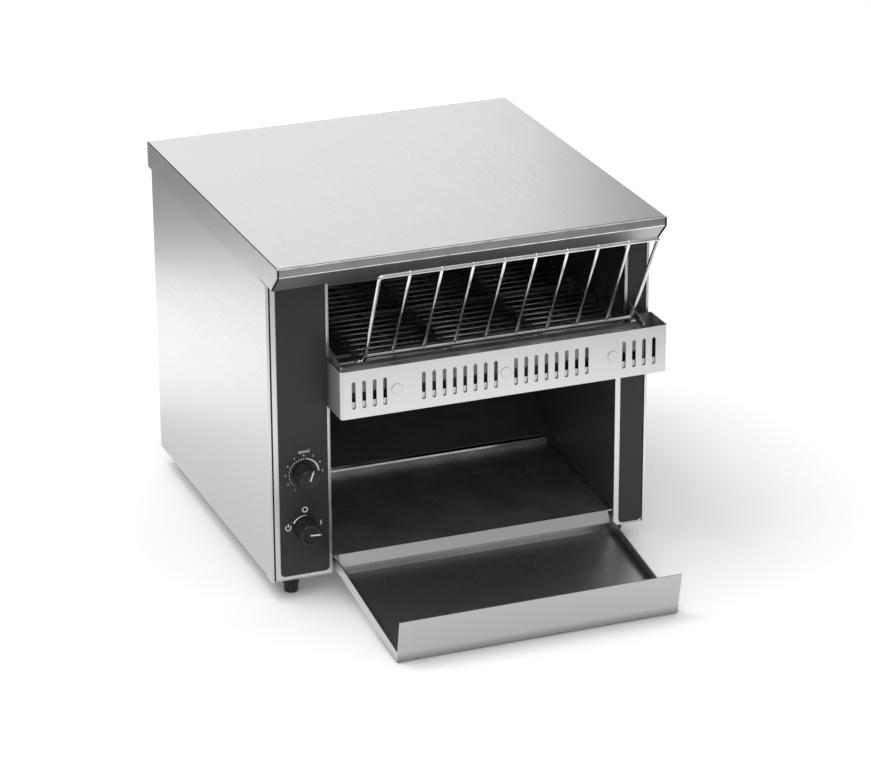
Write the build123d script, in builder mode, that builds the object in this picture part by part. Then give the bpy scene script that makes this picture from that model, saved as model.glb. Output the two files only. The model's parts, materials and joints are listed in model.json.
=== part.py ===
from build123d import *
import os
from math import atan2, cos, degrees, hypot, pi, radians, sin, tan

os.makedirs("parts", exist_ok=True)

# Countertop conveyor toaster, in millimetres.
# X points to the right, Y to the back and Z up. The origin is on the counter, midway between the four feet.

# ---------------------------------------------------------------- driving dimensions

# casing
hood_width = 368.0
hood_depth = 381.0
overall_height = 332.0
sheet = 1.0
plate = 1.2
fold_radius = 1.5
front_overhang = 35.0
back_overhang = 6.0
hood_gap = 0.5
hood_flange = 8.3
hood_return_run = 16.8
hood_return_drop = 17.1
hood_side_drop = 25.3
hood_seam = 0.6
hem_width = 15.0
hem_thickness = 1.5
hem_gap = 0.7
foot_height = 19.0
foot_radius = 7.5
foot_inset_x = 22.5
foot_inset_y = 17.6
screw_radius = 2.0
flange_width = 12.0
seam = 0.2
running_gap = 0.05

# compartments, measured inwards from the side panels
control_width = 56.5
conveyor_margin = 18.5
outlet_margin = 30.3
column_gap = 2.5
column_step = 4.0
column_flange = 14.0
column_head = 2.0
overlay_thickness = 0.6
overlay_border = 4.8
overlay_inner_border = 2.8
overlay_radius = 4.0
overlay_foot = 3.0
outlet_overlay_foot = 1.0
overlay_head = 15.0
overlay_step_border = 3.0
outlet_border = 5.3

# levels of the conveyor below the top of the casing
header_drop = 36.0
ceiling_drop = 27.0
upper_element_drop = 42.0
vent_row_drop = 69.0
insulation_thickness = 12.0

# levels above the counter
shield_bottom = 183.0
baffle_height = 189.0
belt_top = 225.0

# belt loop
belt_wire = 0.8
belt_radius = 12.0
belt_pitch = 12.0
belt_left_margin = 24.0
belt_right_margin = 6.0
belt_rows = 4
link_width = 3.0
idler_reach = 10.0
rear_drop_gap = 40.0
rear_wall_inset = 22.0
shaft_radius = 4.0
bushing_radius = 6.0
bushing_flange = 8.0
sprocket_teeth = 5

# loading side
nose_reach = 33.0
nose_front_height = 232.0
nose_back_height = 241.6
shield_reach = 36.2
shield_height = 45.1
shield_overhang = 4.5
shield_end_margin = 1.5
slot_pitch = 9.85
slot_width = 3.6
slot_height = 26.1
slot_rise = 21.8
first_slot = 9.7
last_slot_inset = 12.1
end_slots = 4
stud_inset = 52.75
stud_margin = 25.0
stud_rise = 22.5
stud_radius = 4.7
guard_setback = 6.7
rack_wire = 2.0
rack_bar = 1.5
rack_top_spread = 6.6
rack_pivot_inset = 3.0
rack_rise = 97.0
rack_lean = 50.0
rack_bars = 8
rack_bar_margin = 30.0
rack_pivot_y_setback = 18.0
rack_pivot_height = 228.0

# heating elements
element_radius = 4.0
ceramic_radius = 7.0
lower_element_height = 208.8
upper_element_count = 4
lower_element_count = 3

# outlet trays
inner_tray_left_gap = 2.0
inner_tray_right_gap = 5.2
inner_tray_front_height = 36.5
inner_tray_slope = 3.2
inner_tray_length = 150.0
collection_left_gap = 2.4
collection_right_gap = 7.1
collection_reach = 158.0
collection_slope = 0.15
collection_wall = 42.9
collection_lean = 8.1
collection_side_wall = 9.8
collection_travel = 140.0
pin_radius = 2.0
chute_start_height = 53.0
chute_slope = 35.0

# controls
knob_radius = 10.3
knob_length = 17.8
knob_bevel = 0.7
knob_ring = 7.6
knob_ring_width = 0.5
knob_ring_depth = 0.3
knob_inset_x = 30.7
speed_knob_height = 122.0
mode_knob_height = 68.5
spindle_radius = 3.0
fan_size = 80.0
fan_depth = 25.0
fan_height = 66.0

# ---------------------------------------------------------------- places worked out from them

hood_half = hood_width / 2
body_half = hood_half - sheet - hood_gap
body_back = (hood_depth - front_overhang - back_overhang) / 2
body_front = -body_back
hood_front = body_front - front_overhang
hood_back = body_back + back_overhang
case_top = overall_height - sheet
pan_top = foot_height + sheet

opening_left = -body_half + control_width
conveyor_right = body_half - conveyor_margin
cavity_right = body_half - outlet_margin
header_bottom = overall_height - header_drop
ceiling_height = overall_height - ceiling_drop
upper_element_height = overall_height - upper_element_drop
vent_row_height = overall_height - vent_row_drop - sheet
column_outer = body_half - column_gap
column_top = case_top - column_head
inner_front = body_front + sheet
rear_wall = body_back - rear_wall_inset

belt_left = opening_left + belt_left_margin
belt_right = conveyor_right - belt_right_margin
shaft_height = belt_top - belt_wire - belt_radius
idler_y = body_front - idler_reach
drive_y = rear_wall - rear_drop_gap - belt_radius - belt_wire

shield_left = opening_left - plate - seam - sheet
shield_right = body_half + shield_overhang
slots_right = shield_right - shield_end_margin
shield_centre = (shield_left + slots_right) / 2
shield_face = body_front - shield_reach
guard_y = shield_face + sheet + guard_setback
rack_y = body_front - rack_pivot_y_setback

knob_x = -body_half + knob_inset_x
overlay_face = body_front - overlay_thickness


# ---------------------------------------------------------------- helpers

def block(x_span, y_span, z_span, mode=Mode.ADD):
    """Box between two places on each axis."""
    with Locations((x_span[0], y_span[0], z_span[0])):
        Box(
            x_span[1] - x_span[0],
            y_span[1] - y_span[0],
            z_span[1] - z_span[0],
            align=(Align.MIN, Align.MIN, Align.MIN),
            mode=mode,
        )


def side_span(side, near, far):
    """Span along X at one side of the middle, from its distance near to far."""
    return tuple(sorted((side * near, side * far)))


def bar_x(x_span, y, z, radius, mode=Mode.ADD):
    """Round bar along X."""
    with Locations(Location((x_span[0], y, z), (0, 90, 0))):
        Cylinder(radius, x_span[1] - x_span[0], align=(Align.CENTER, Align.CENTER, Align.MIN), mode=mode)


def bar_y(x, y_span, z, radius, mode=Mode.ADD):
    """Round bar along Y."""
    with Locations(Location((x, y_span[0], z), (-90, 0, 0))):
        Cylinder(radius, y_span[1] - y_span[0], align=(Align.CENTER, Align.CENTER, Align.MIN), mode=mode)


def bar_z(x, y, z_span, radius, mode=Mode.ADD):
    """Round bar along Z."""
    with Locations((x, y, z_span[0])):
        Cylinder(radius, z_span[1] - z_span[0], align=(Align.CENTER, Align.CENTER, Align.MIN), mode=mode)


def folded_section(x, points, radius=fold_radius, thickness=sheet):
    """Section of a folded sheet at one X, whose middle line runs through points (y, z)."""
    with BuildSketch(Plane.YZ.offset(x)) as section:
        with BuildLine():
            FilletPolyline(*points, radius=radius)
        trace(line_width=thickness)
    return section.sketch


def flat_section(x, points):
    """Flat outline at one X through points (y, z)."""
    with BuildSketch(Plane.YZ.offset(x)) as section:
        with BuildLine():
            Polyline(*points, close=True)
        make_face()
    return section.sketch


def bent_wire(points, radius, bend):
    """Round wire along straight runs joined by bends."""
    with BuildLine() as path:
        FilletPolyline(*points, radius=bend)
    with BuildSketch(Plane(origin=path.line @ 0, z_dir=path.line % 0)) as section:
        Circle(radius)
    sweep(section.sketch, path=path.line)


def notched_wheel(x, y, z, radius, notches, notch_radius, bore):
    """Wheel outline in the YZ plane with round notches in its rim."""
    with BuildSketch(Plane.YZ.offset(x)) as section:
        with Locations((y, z)):
            Circle(radius)
            with PolarLocations(radius, notches):
                Circle(notch_radius, mode=Mode.SUBTRACT)
            Circle(bore, mode=Mode.SUBTRACT)
    return section.sketch


def evenly(first, last, count):
    """Evenly spaced places from first to last."""
    return [first + (last - first) * index / (count - 1) for index in range(count)]


# ---------------------------------------------------------------- hood

hood_side_bottom = overall_height - hood_side_drop
return_bend = (hood_front + sheet / 2, overall_height - hood_flange)
return_end = (return_bend[0] + hood_return_run, return_bend[1] - hood_return_drop)
hood_profile = [
    return_end,
    return_bend,
    (hood_front + sheet / 2, overall_height - sheet / 2),
    (hood_back - sheet / 2, overall_height - sheet / 2),
    (hood_back - sheet / 2, hood_side_bottom),
]
hood_side_profile = [
    (hood_front + sheet + hood_seam, case_top),
    (hood_front + sheet + hood_seam, return_bend[1]),
    (return_end[0] + sheet + hood_seam, hood_side_bottom),
    (hood_back, hood_side_bottom),
    (hood_back, case_top),
]

with BuildPart() as hood:
    extrude(folded_section(-hood_half, hood_profile), amount=hood_width)
    for flange_x in (-hood_half, hood_half - sheet):
        extrude(flat_section(flange_x, hood_side_profile), amount=sheet)
    for side in (-1, 1):
        hem = side_span(side, body_half + seam, hood_half)
        block(hem, (return_end[0] + flange_width, hood_back - sheet), (hood_side_bottom, hood_side_bottom + sheet))
    top_edges = hood.edges().filter_by(Axis.Y).group_by(Axis.Z)[-1]
    fillet(top_edges, radius=sheet * 0.9)
hood.part.label = "hood"
export_step(hood.part, "parts/hood.step")


# ---------------------------------------------------------------- side panels, back and base

back_panel_y = (body_back - sheet, body_back)
back_screw_margin = 40.0
back_screw_rows = 3
flange_setback = 2.0
back_screw_span = (foot_height + back_screw_margin, case_top - back_screw_margin)
back_screw_heights = evenly(*back_screw_span, back_screw_rows)
back_screw_x = body_half - flange_width / 2


def side_shell(side):
    """Flat side panel with inward flanges along its top, bottom and back, and a hem along its front edge."""
    flange_x = side_span(side, body_half - flange_width, body_half)
    flange_y = (body_front + column_flange + flange_setback, back_panel_y[0])
    back_flange_y = (back_panel_y[0] - sheet, back_panel_y[0])
    block(side_span(side, body_half - sheet, body_half), (body_front, body_back), (foot_height, case_top))
    hem_x = side_span(side, body_half, body_half + hem_thickness)
    block(hem_x, (body_front, body_front + hem_width), (foot_height, hood_side_bottom - hem_gap))
    block(flange_x, flange_y, (case_top - sheet, case_top))
    block(flange_x, flange_y, (pan_top, pan_top + sheet))
    block(flange_x, back_flange_y, (pan_top, case_top))
    for height in back_screw_heights:
        bar_y(side * back_screw_x, back_flange_y, height, screw_radius, mode=Mode.SUBTRACT)


with BuildPart() as left_side_panel:
    side_shell(-1)
left_side_panel.part.label = "left_side_panel"
export_step(left_side_panel.part, "parts/left_side_panel.step")

with BuildPart() as right_side_panel:
    side_shell(1)
right_side_panel.part.label = "right_side_panel"
export_step(right_side_panel.part, "parts/right_side_panel.step")

panel_half = body_half - sheet - seam
fan_x = (opening_left + cavity_right) / 2
fan_rim = 3.0
fan_bore = fan_size / 2 - fan_rim
gland_inset = 28.0
gland_x = -body_half + gland_inset
gland_height = foot_height + gland_inset
gland_radius = 8.0
vent_count = 9
vent_height = 22.0
vent_width = 3.0
vent_pitch = 11.0

with BuildPart() as back_panel:
    block((-panel_half, panel_half), back_panel_y, (foot_height, case_top - sheet - seam))
    for side in (-1, 1):
        for height in back_screw_heights:
            bar_y(side * back_screw_x, back_panel_y, height, screw_radius, mode=Mode.SUBTRACT)
    bar_y(fan_x, back_panel_y, fan_height, fan_bore, mode=Mode.SUBTRACT)
    bar_y(gland_x, back_panel_y, gland_height, gland_radius, mode=Mode.SUBTRACT)
    with BuildSketch(Plane.XZ.offset(-body_back)):
        with Locations((0, vent_row_height)):
            with GridLocations(vent_pitch, 1, vent_count, 1):
                SlotOverall(vent_height, vent_width, rotation=90)
    extrude(amount=sheet, mode=Mode.SUBTRACT)
back_panel.part.label = "back_panel"
export_step(back_panel.part, "parts/back_panel.step")

screw_head = 3.6
screw_head_rise = 1.8
screw_length = 8.0
with BuildPart() as panel_screws:
    for side in (-1, 1):
        for height in back_screw_heights:
            x = side * back_screw_x
            bar_y(x, (body_back, body_back + screw_head_rise), height, screw_head)
            bar_y(x, (body_back - screw_length, body_back), height, screw_radius - running_gap)
panel_screws.part.label = "panel_screws"
export_step(panel_screws.part, "parts/panel_screws.step")

outlet_floor_back = -8.0
foot_x = body_half - foot_inset_x
foot_y = body_back - foot_inset_y
foot_places = [(x, y) for x in (-foot_x, foot_x) for y in (-foot_y, foot_y)]

with BuildPart() as base_pan:
    block((-panel_half, panel_half), (body_front, back_panel_y[0]), (foot_height, pan_top))
    outlet = (body_front, outlet_floor_back)
    block((opening_left, cavity_right), outlet, (foot_height, pan_top), mode=Mode.SUBTRACT)
    for x, y in foot_places:
        bar_z(x, y, (foot_height, pan_top), screw_radius, mode=Mode.SUBTRACT)
base_pan.part.label = "base_pan"
export_step(base_pan.part, "parts/base_pan.step")

foot_recess = 5.0
foot_recess_radius = 4.3
foot_taper = 0.6
with BuildPart() as feet:
    for x, y in foot_places:
        with Locations((x, y, 0)):
            stands = (Align.CENTER, Align.CENTER, Align.MIN)
            Cone(foot_radius - foot_taper, foot_radius, foot_height, align=stands)
        bar_z(x, y, (0, foot_recess), foot_recess_radius, mode=Mode.SUBTRACT)
        bar_z(x, y, (foot_recess, foot_height), screw_radius + running_gap, mode=Mode.SUBTRACT)
feet.part.label = "feet"
export_step(feet.part, "parts/feet.step")

# each foot has a screw from below and a hexagon nut on the base pan
nut_height = 3.2
nut_half = 3.5
screw_head_height = 2.2
head_clearance = 0.4
thread_end = 1.0
with BuildPart() as foot_fasteners:
    with BuildSketch(Plane.XY.offset(pan_top)):
        with Locations(*foot_places):
            RegularPolygon(nut_half, 6, major_radius=False)
            Circle(screw_radius, mode=Mode.SUBTRACT)
    extrude(amount=nut_height)
    for x, y in foot_places:
        bar_z(x, y, (foot_recess - screw_head_height, foot_recess), foot_recess_radius - head_clearance)
        bar_z(x, y, (foot_recess, pan_top + nut_height + thread_end), screw_radius - running_gap)
foot_fasteners.part.label = "foot_fasteners"
export_step(foot_fasteners.part, "parts/foot_fasteners.step")


# ---------------------------------------------------------------- front columns and their black overlays

knob_heights = (speed_knob_height, mode_knob_height)
collar_radius = 4.5
front_y = (body_front, inner_front)
column_z = (pan_top, column_top)
nose_clearance = 3.0
nose_bottom = shield_bottom + sheet + nose_clearance

with BuildPart() as left_column:
    inner_edge = opening_left - plate
    block((-column_outer, inner_edge), front_y, column_z)
    block((-column_outer, -column_outer + sheet), (body_front, body_front + column_flange), column_z)
    block((inner_edge - sheet, inner_edge), (body_front, body_front + column_flange), column_z)
    for height in knob_heights:
        bar_y(knob_x, front_y, height, collar_radius, mode=Mode.SUBTRACT)
left_column.part.label = "left_column"
export_step(left_column.part, "parts/left_column.step")

column_step_rise = 1.0
column_step_height = shield_bottom + sheet + column_step_rise
upper_inner = conveyor_right - column_step
with BuildPart() as right_column:
    block((cavity_right, column_outer), front_y, (pan_top, column_step_height))
    block((upper_inner, column_outer), front_y, (column_step_height, column_top))
    block((column_outer - sheet, column_outer), (body_front, body_front + column_flange), column_z)
    block(
        (conveyor_right + plate, conveyor_right + plate + sheet),
        (body_front, body_front + column_flange),
        column_z,
    )
    nose_slot = (conveyor_right - seam, conveyor_right + plate + seam)
    block(nose_slot, front_y, (nose_bottom - seam, nose_back_height + seam), mode=Mode.SUBTRACT)
right_column.part.label = "right_column"
export_step(right_column.part, "parts/right_column.step")

overlay_top = case_top - overlay_head
overlay_y = (overlay_face, body_front)
overlay_left = -column_outer + overlay_border
with BuildPart() as left_overlay:
    overlay_right = opening_left - overlay_inner_border
    block((overlay_left, overlay_right), overlay_y, (pan_top + overlay_foot, overlay_top))
    fillet(left_overlay.edges().filter_by(Axis.Y), radius=overlay_radius)
    for height in knob_heights:
        bar_y(knob_x, overlay_y, height, collar_radius, mode=Mode.SUBTRACT)
left_overlay.part.label = "left_overlay"
export_step(left_overlay.part, "parts/left_overlay.step")

with BuildPart() as right_overlay:
    lower_z = (pan_top + outlet_overlay_foot, shield_bottom - seam)
    upper_z = (shield_bottom + shield_height, overlay_top)
    block((cavity_right + outlet_border, column_outer), overlay_y, lower_z)
    fillet(right_overlay.edges().filter_by(Axis.Y).group_by(Axis.Z)[0], radius=overlay_radius)
    block((upper_inner + overlay_step_border, column_outer), overlay_y, upper_z)
    block(nose_slot, overlay_y, (shield_bottom, nose_back_height + seam), mode=Mode.SUBTRACT)
right_overlay.part.label = "right_overlay"
export_step(right_overlay.part, "parts/right_overlay.step")

header_hole = 2.3
header_pitch = 17.0
header_first = 14.8
header_hole_rise = 7.0
header_flange = 8.0
header_hole_height = header_bottom + header_hole_rise
header_hole_count = int((conveyor_right - column_step - opening_left - header_first) // header_pitch) + 1
with BuildPart() as header_plate:
    header_x = (opening_left + seam, conveyor_right - seam)
    header_y = (inner_front, inner_front + sheet)
    block(header_x, header_y, (header_bottom, column_top))
    block(header_x, (header_y[0], header_y[0] + header_flange), (header_bottom, header_bottom + sheet))
    for index in range(header_hole_count):
        x = opening_left + header_first + index * header_pitch
        bar_y(x, header_y, header_hole_height, header_hole, mode=Mode.SUBTRACT)
header_plate.part.label = "header_plate"
export_step(header_plate.part, "parts/header_plate.step")


# ---------------------------------------------------------------- conveyor side plates and cavity walls

plate_overrun = 2.0
plate_back = rear_wall + plate_overrun
plate_top = ceiling_height + sheet + insulation_thickness
nose_front = body_front - nose_reach
first_element = 55.0
last_upper_element = 40.0
last_lower_element = 35.0
upper_element_y = evenly(body_front + first_element, rear_wall - last_upper_element, upper_element_count)
lower_element_y = evenly(idler_y + first_element, drive_y - last_lower_element, lower_element_count)
support_bar_front = 30.0
support_bar_back = 18.0
support_bar_y = (idler_y + support_bar_front, drive_y - support_bar_back)
support_bar_radius = 3.0
pin_setback = 13.0
pin_y = body_front + pin_setback
pin_height = 26.5
slot_clearance = 0.15
slot_half = pin_radius + slot_clearance


def tray_slot(x):
    """Slot in a cavity wall that guides one pin of the collection tray."""
    with BuildSketch(Plane.YZ.offset(x)) as section:
        with Locations((pin_y + collection_travel / 2, pin_height)):
            SlotCenterToCenter(collection_travel, 2 * slot_half)
    return section.sketch


def conveyor_plate(x, front):
    """Upright plate that carries the shafts, elements and support bars at one side of the belt."""
    x_span = (x, x + plate)
    profile = [
        (front, pan_top),
        (front, nose_bottom),
        (nose_front, nose_bottom),
        (nose_front, nose_front_height),
        (body_front, nose_back_height),
        (front, nose_back_height),
        (front, plate_top),
        (plate_back, plate_top),
        (plate_back, pan_top),
    ]
    if front == body_front:
        profile.remove((front, nose_back_height))
    extrude(flat_section(x, profile), amount=plate)
    for y in (idler_y, drive_y):
        bar_x(x_span, y, shaft_height, bushing_radius, mode=Mode.SUBTRACT)
    for y in upper_element_y:
        bar_x(x_span, y, upper_element_height, ceramic_radius, mode=Mode.SUBTRACT)
    for y in lower_element_y:
        bar_x(x_span, y, lower_element_height, ceramic_radius, mode=Mode.SUBTRACT)
    for y in support_bar_y:
        bar_x(x_span, y, shaft_height, support_bar_radius, mode=Mode.SUBTRACT)


with BuildPart() as left_inner_plate:
    conveyor_plate(opening_left - plate, body_front)
    extrude(tray_slot(opening_left - plate), amount=plate, mode=Mode.SUBTRACT)
left_inner_plate.part.label = "left_inner_plate"
export_step(left_inner_plate.part, "parts/left_inner_plate.step")

with BuildPart() as right_inner_plate:
    conveyor_plate(conveyor_right, inner_front)
right_inner_plate.part.label = "right_inner_plate"
export_step(right_inner_plate.part, "parts/right_inner_plate.step")

with BuildPart() as right_cavity_wall:
    block((cavity_right, cavity_right + sheet), (inner_front, rear_wall), (pan_top, baffle_height))
    wall_top = (baffle_height - sheet, baffle_height)
    block((cavity_right, conveyor_right - seam), (inner_front, rear_wall), wall_top)
    extrude(tray_slot(cavity_right), amount=sheet, mode=Mode.SUBTRACT)
right_cavity_wall.part.label = "right_cavity_wall"
export_step(right_cavity_wall.part, "parts/right_cavity_wall.step")

between_plates = (opening_left + seam, conveyor_right - seam)
drop_opening = 35.0
baffle_back = drive_y - drop_opening
with BuildPart() as lower_baffle:
    block(between_plates, (inner_front, baffle_back), (baffle_height, baffle_height + sheet))
    block((between_plates[0], cavity_right - seam), front_y, (shield_bottom + sheet, baffle_height + sheet))
lower_baffle.part.label = "lower_baffle"
export_step(lower_baffle.part, "parts/lower_baffle.step")

reflector_skirt = 7.0
with BuildPart() as upper_reflector:
    reflector_y = (inner_front + sheet + seam, rear_wall)
    block(between_plates, reflector_y, (ceiling_height, ceiling_height + sheet))
    for x in (between_plates[0], between_plates[1] - sheet):
        block((x, x + sheet), reflector_y, (ceiling_height - reflector_skirt, ceiling_height))
upper_reflector.part.label = "upper_reflector"
export_step(upper_reflector.part, "parts/upper_reflector.step")

blanket_front_gap = 8.0
blanket_back_gap = 2.0
blanket_side_gap = 1.0
with BuildPart() as insulation_blanket:
    blanket_x = (between_plates[0] + blanket_side_gap, between_plates[1] - blanket_side_gap)
    blanket_y = (reflector_y[0] + blanket_front_gap, rear_wall - blanket_back_gap)
    blanket_z = (ceiling_height + sheet, ceiling_height + sheet + insulation_thickness)
    block(blanket_x, blanket_y, blanket_z)
insulation_blanket.part.label = "insulation_blanket"
export_step(insulation_blanket.part, "parts/insulation_blanket.step")

chute_gap = 2.0
chute_knee = 46.0
chute_rise = 72.0
chute_upright = 24.0
chute_radius = 20.0
chute_overlap = 20.0
chute_start_y = body_front + inner_tray_length + chute_gap
chute_knee_y = rear_wall - chute_knee
chute_knee_z = chute_start_height + (chute_knee_y - chute_start_y) * tan(radians(chute_slope))
chute_top = chute_knee_z + chute_rise
chute_x = (opening_left + seam, cavity_right - seam)
with BuildPart() as toast_chute:
    chute_line = [
        (chute_start_y, chute_start_height),
        (chute_knee_y, chute_knee_z),
        (rear_wall - sheet / 2, chute_top - chute_upright),
        (rear_wall - sheet / 2, chute_top),
    ]
    extrude(folded_section(chute_x[0], chute_line, radius=chute_radius), amount=chute_x[1] - chute_x[0])
toast_chute.part.label = "toast_chute"
export_step(toast_chute.part, "parts/toast_chute.step")

with BuildPart() as rear_heat_wall:
    block(between_plates, (rear_wall, rear_wall + sheet), (chute_top - chute_overlap, ceiling_height + sheet))
rear_heat_wall.part.label = "rear_heat_wall"
export_step(rear_heat_wall.part, "parts/rear_heat_wall.step")


# ---------------------------------------------------------------- belt, shafts and supports

loop_straight = drive_y - idler_y
loop_length = 2 * loop_straight + 2 * pi * belt_radius
belt_wire_count = round(loop_length / belt_pitch)


def loop_place(distance):
    """Place (y, z) of a cross wire at a distance along the belt loop."""
    arc = pi * belt_radius
    if distance < loop_straight:
        return (idler_y + distance, shaft_height + belt_radius)
    distance -= loop_straight
    if distance < arc:
        turn = distance / belt_radius
        return (drive_y + belt_radius * sin(turn), shaft_height + belt_radius * cos(turn))
    distance -= arc
    if distance < loop_straight:
        return (drive_y - distance, shaft_height - belt_radius)
    turn = (distance - loop_straight) / belt_radius
    return (idler_y - belt_radius * sin(turn), shaft_height - belt_radius * cos(turn))


wire_places = [loop_place(loop_length * index / belt_wire_count) for index in range(belt_wire_count)]
row_places = evenly(belt_left, belt_right - link_width, belt_rows)
cross_wire = belt_wire * 0.9

with BuildPart() as wire_belt:
    for x in row_places:
        with BuildSketch(Plane.YZ.offset(x)):
            with Locations(((idler_y + drive_y) / 2, shaft_height)):
                SlotCenterToCenter(loop_straight, 2 * (belt_radius + belt_wire))
                SlotCenterToCenter(loop_straight, 2 * (belt_radius - belt_wire), mode=Mode.SUBTRACT)
        extrude(amount=link_width)
    wire_length = belt_right - belt_left
    with Locations(*[Location((belt_left, y, z), (0, 90, 0)) for y, z in wire_places]):
        Cylinder(cross_wire, wire_length, align=(Align.CENTER, Align.CENTER, Align.MIN))
wire_belt.part.label = "wire_belt"
export_step(wire_belt.part, "parts/wire_belt.step")

chain_width = 3.0
chain_gap = 10.0
chain_x = opening_left - plate - chain_gap
chain_pitch = 6.35
driven_teeth = 20
motor_teeth = 12
driven_pitch_radius = chain_pitch / (2 * sin(pi / driven_teeth))
motor_pitch_radius = chain_pitch / (2 * sin(pi / motor_teeth))

notch_radius = 1.6
shaft_bore = shaft_radius + running_gap
shaft_overhang = 4.0
shaft_chamfer = 0.6
drive_shaft_x = (chain_x - shaft_overhang, conveyor_right + plate + shaft_overhang)
with BuildPart() as drive_shaft:
    bar_x(drive_shaft_x, drive_y, shaft_height, shaft_radius)
    chamfer(drive_shaft.edges().filter_by(GeomType.CIRCLE), length=shaft_chamfer)
drive_shaft.part.label = "drive_shaft"
export_step(drive_shaft.part, "parts/drive_shaft.step")

with BuildPart() as idler_shaft:
    bar_x((opening_left - plate + seam, conveyor_right + plate - seam), idler_y, shaft_height, shaft_radius)
    chamfer(idler_shaft.edges().filter_by(GeomType.CIRCLE), length=shaft_chamfer)
idler_shaft.part.label = "idler_shaft"
export_step(idler_shaft.part, "parts/idler_shaft.step")

sprocket_clearance = 0.4
sprocket_gap = 2.0
sprocket_radius = belt_radius - belt_wire - sprocket_clearance
sprocket_width = 2.5
sprocket_places = [x + link_width + sprocket_gap for x in row_places[:-1]]
sprocket_places.append(row_places[-1] - sprocket_gap - sprocket_width)


def belt_sprockets(y):
    """Row of notched wheels on one shaft, beside the link rows."""
    for x in sprocket_places:
        wheel = notched_wheel(x, y, shaft_height, sprocket_radius, sprocket_teeth, notch_radius, shaft_bore)
        extrude(wheel, amount=sprocket_width)


with BuildPart() as drive_sprockets:
    belt_sprockets(drive_y)
drive_sprockets.part.label = "drive_sprockets"
export_step(drive_sprockets.part, "parts/drive_sprockets.step")

with BuildPart() as idler_sprockets:
    belt_sprockets(idler_y)
idler_sprockets.part.label = "idler_sprockets"
export_step(idler_sprockets.part, "parts/idler_sprockets.step")

bushing_collar = 1.5
with BuildPart() as shaft_bushings:
    for y in (idler_y, drive_y):
        for body_x, collar_x in (
            ((opening_left - plate, opening_left), (opening_left, opening_left + bushing_collar)),
            ((conveyor_right, conveyor_right + plate), (conveyor_right - bushing_collar, conveyor_right)),
        ):
            bar_x(body_x, y, shaft_height, bushing_radius)
            bar_x(collar_x, y, shaft_height, bushing_flange)
            whole = (min(body_x[0], collar_x[0]), max(body_x[1], collar_x[1]))
            bar_x(whole, y, shaft_height, shaft_bore, mode=Mode.SUBTRACT)
shaft_bushings.part.label = "shaft_bushings"
export_step(shaft_bushings.part, "parts/shaft_bushings.step")

rail_width = 2.0
rail_clearance = 0.4
rail_margin = 45.0
rail_front_gap = 12.0
rail_count = 3
rail_top = belt_top - 2 * belt_wire - rail_clearance
rail_bottom = shaft_height + support_bar_radius + running_gap
with BuildPart() as belt_supports:
    for y in support_bar_y:
        bar_x((opening_left - plate, conveyor_right + plate), y, shaft_height, support_bar_radius)
    for x in evenly(belt_left + rail_margin, belt_right - rail_margin, rail_count):
        rail_y = (idler_y + belt_radius + rail_front_gap, drive_y - belt_radius)
        block((x - rail_width / 2, x + rail_width / 2), rail_y, (rail_bottom, rail_top))
belt_supports.part.label = "belt_supports"
export_step(belt_supports.part, "parts/belt_supports.step")


# ---------------------------------------------------------------- chain drive and gear motor

motor_setback = 50.0
motor_drop = 62.0
motor_y = drive_y - motor_setback
motor_z = shaft_height - motor_drop
chain_rise = 1.8


def chain_outline(grow):
    """Loop round both chain wheels, at a distance from their pitch circles."""
    with BuildSketch(Plane.YZ.offset(chain_x)) as outline:
        with Locations((drive_y, shaft_height)):
            Circle(driven_pitch_radius + grow)
        with Locations((motor_y, motor_z)):
            Circle(motor_pitch_radius + grow)
        make_hull()
    return outline.sketch


with BuildPart() as drive_chain:
    extrude(chain_outline(chain_rise), amount=chain_width)
    extrude(chain_outline(-chain_rise), amount=chain_width, mode=Mode.SUBTRACT)
drive_chain.part.label = "drive_chain"
export_step(drive_chain.part, "parts/drive_chain.step")

wheel_clearance = 0.4
wheel_inset = chain_rise + wheel_clearance
with BuildPart() as driven_sprocket:
    rim = driven_pitch_radius - wheel_inset
    wheel = notched_wheel(chain_x, drive_y, shaft_height, rim, driven_teeth, notch_radius, shaft_bore)
    extrude(wheel, amount=chain_width)
driven_sprocket.part.label = "driven_sprocket"
export_step(driven_sprocket.part, "parts/driven_sprocket.step")

output_radius = 3.0
output_reach = 9.0
output_end = 1.0
output_span = (chain_x - output_reach, chain_x + chain_width + output_end)
with BuildPart() as motor_sprocket:
    rim = motor_pitch_radius - wheel_inset
    bore = output_radius + running_gap
    wheel = notched_wheel(chain_x, motor_y, motor_z, rim, motor_teeth, notch_radius, bore)
    extrude(wheel, amount=chain_width)
motor_sprocket.part.label = "motor_sprocket"
export_step(motor_sprocket.part, "parts/motor_sprocket.step")

with BuildPart() as motor_output_shaft:
    bar_x(output_span, motor_y, motor_z, output_radius)
motor_output_shaft.part.label = "motor_output_shaft"
export_step(motor_output_shaft.part, "parts/motor_output_shaft.step")

motor_plate = 1.5
motor_plate_gap = 4.0
motor_plate_half = 27.0
motor_plate_notch = 12.0
output_clearance = 2.0
bracket_x = (chain_x - motor_plate_gap, chain_x - motor_plate_gap + motor_plate)
with BuildPart() as motor_bracket:
    leg_y = (motor_y - motor_plate_half, motor_y + motor_plate_half)
    leg_z = (motor_z - motor_plate_half, motor_z + motor_plate_half - motor_plate_notch)
    leg_x = (bracket_x[0], opening_left - plate)
    block(bracket_x, leg_y, leg_z)
    block(leg_x, leg_y, (leg_z[0], leg_z[0] + motor_plate))
    block(leg_x, (leg_y[0], leg_y[0] + motor_plate), leg_z)
    bar_x(bracket_x, motor_y, motor_z, output_radius + output_clearance, mode=Mode.SUBTRACT)
motor_bracket.part.label = "motor_bracket"
export_step(motor_bracket.part, "parts/motor_bracket.step")

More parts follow.
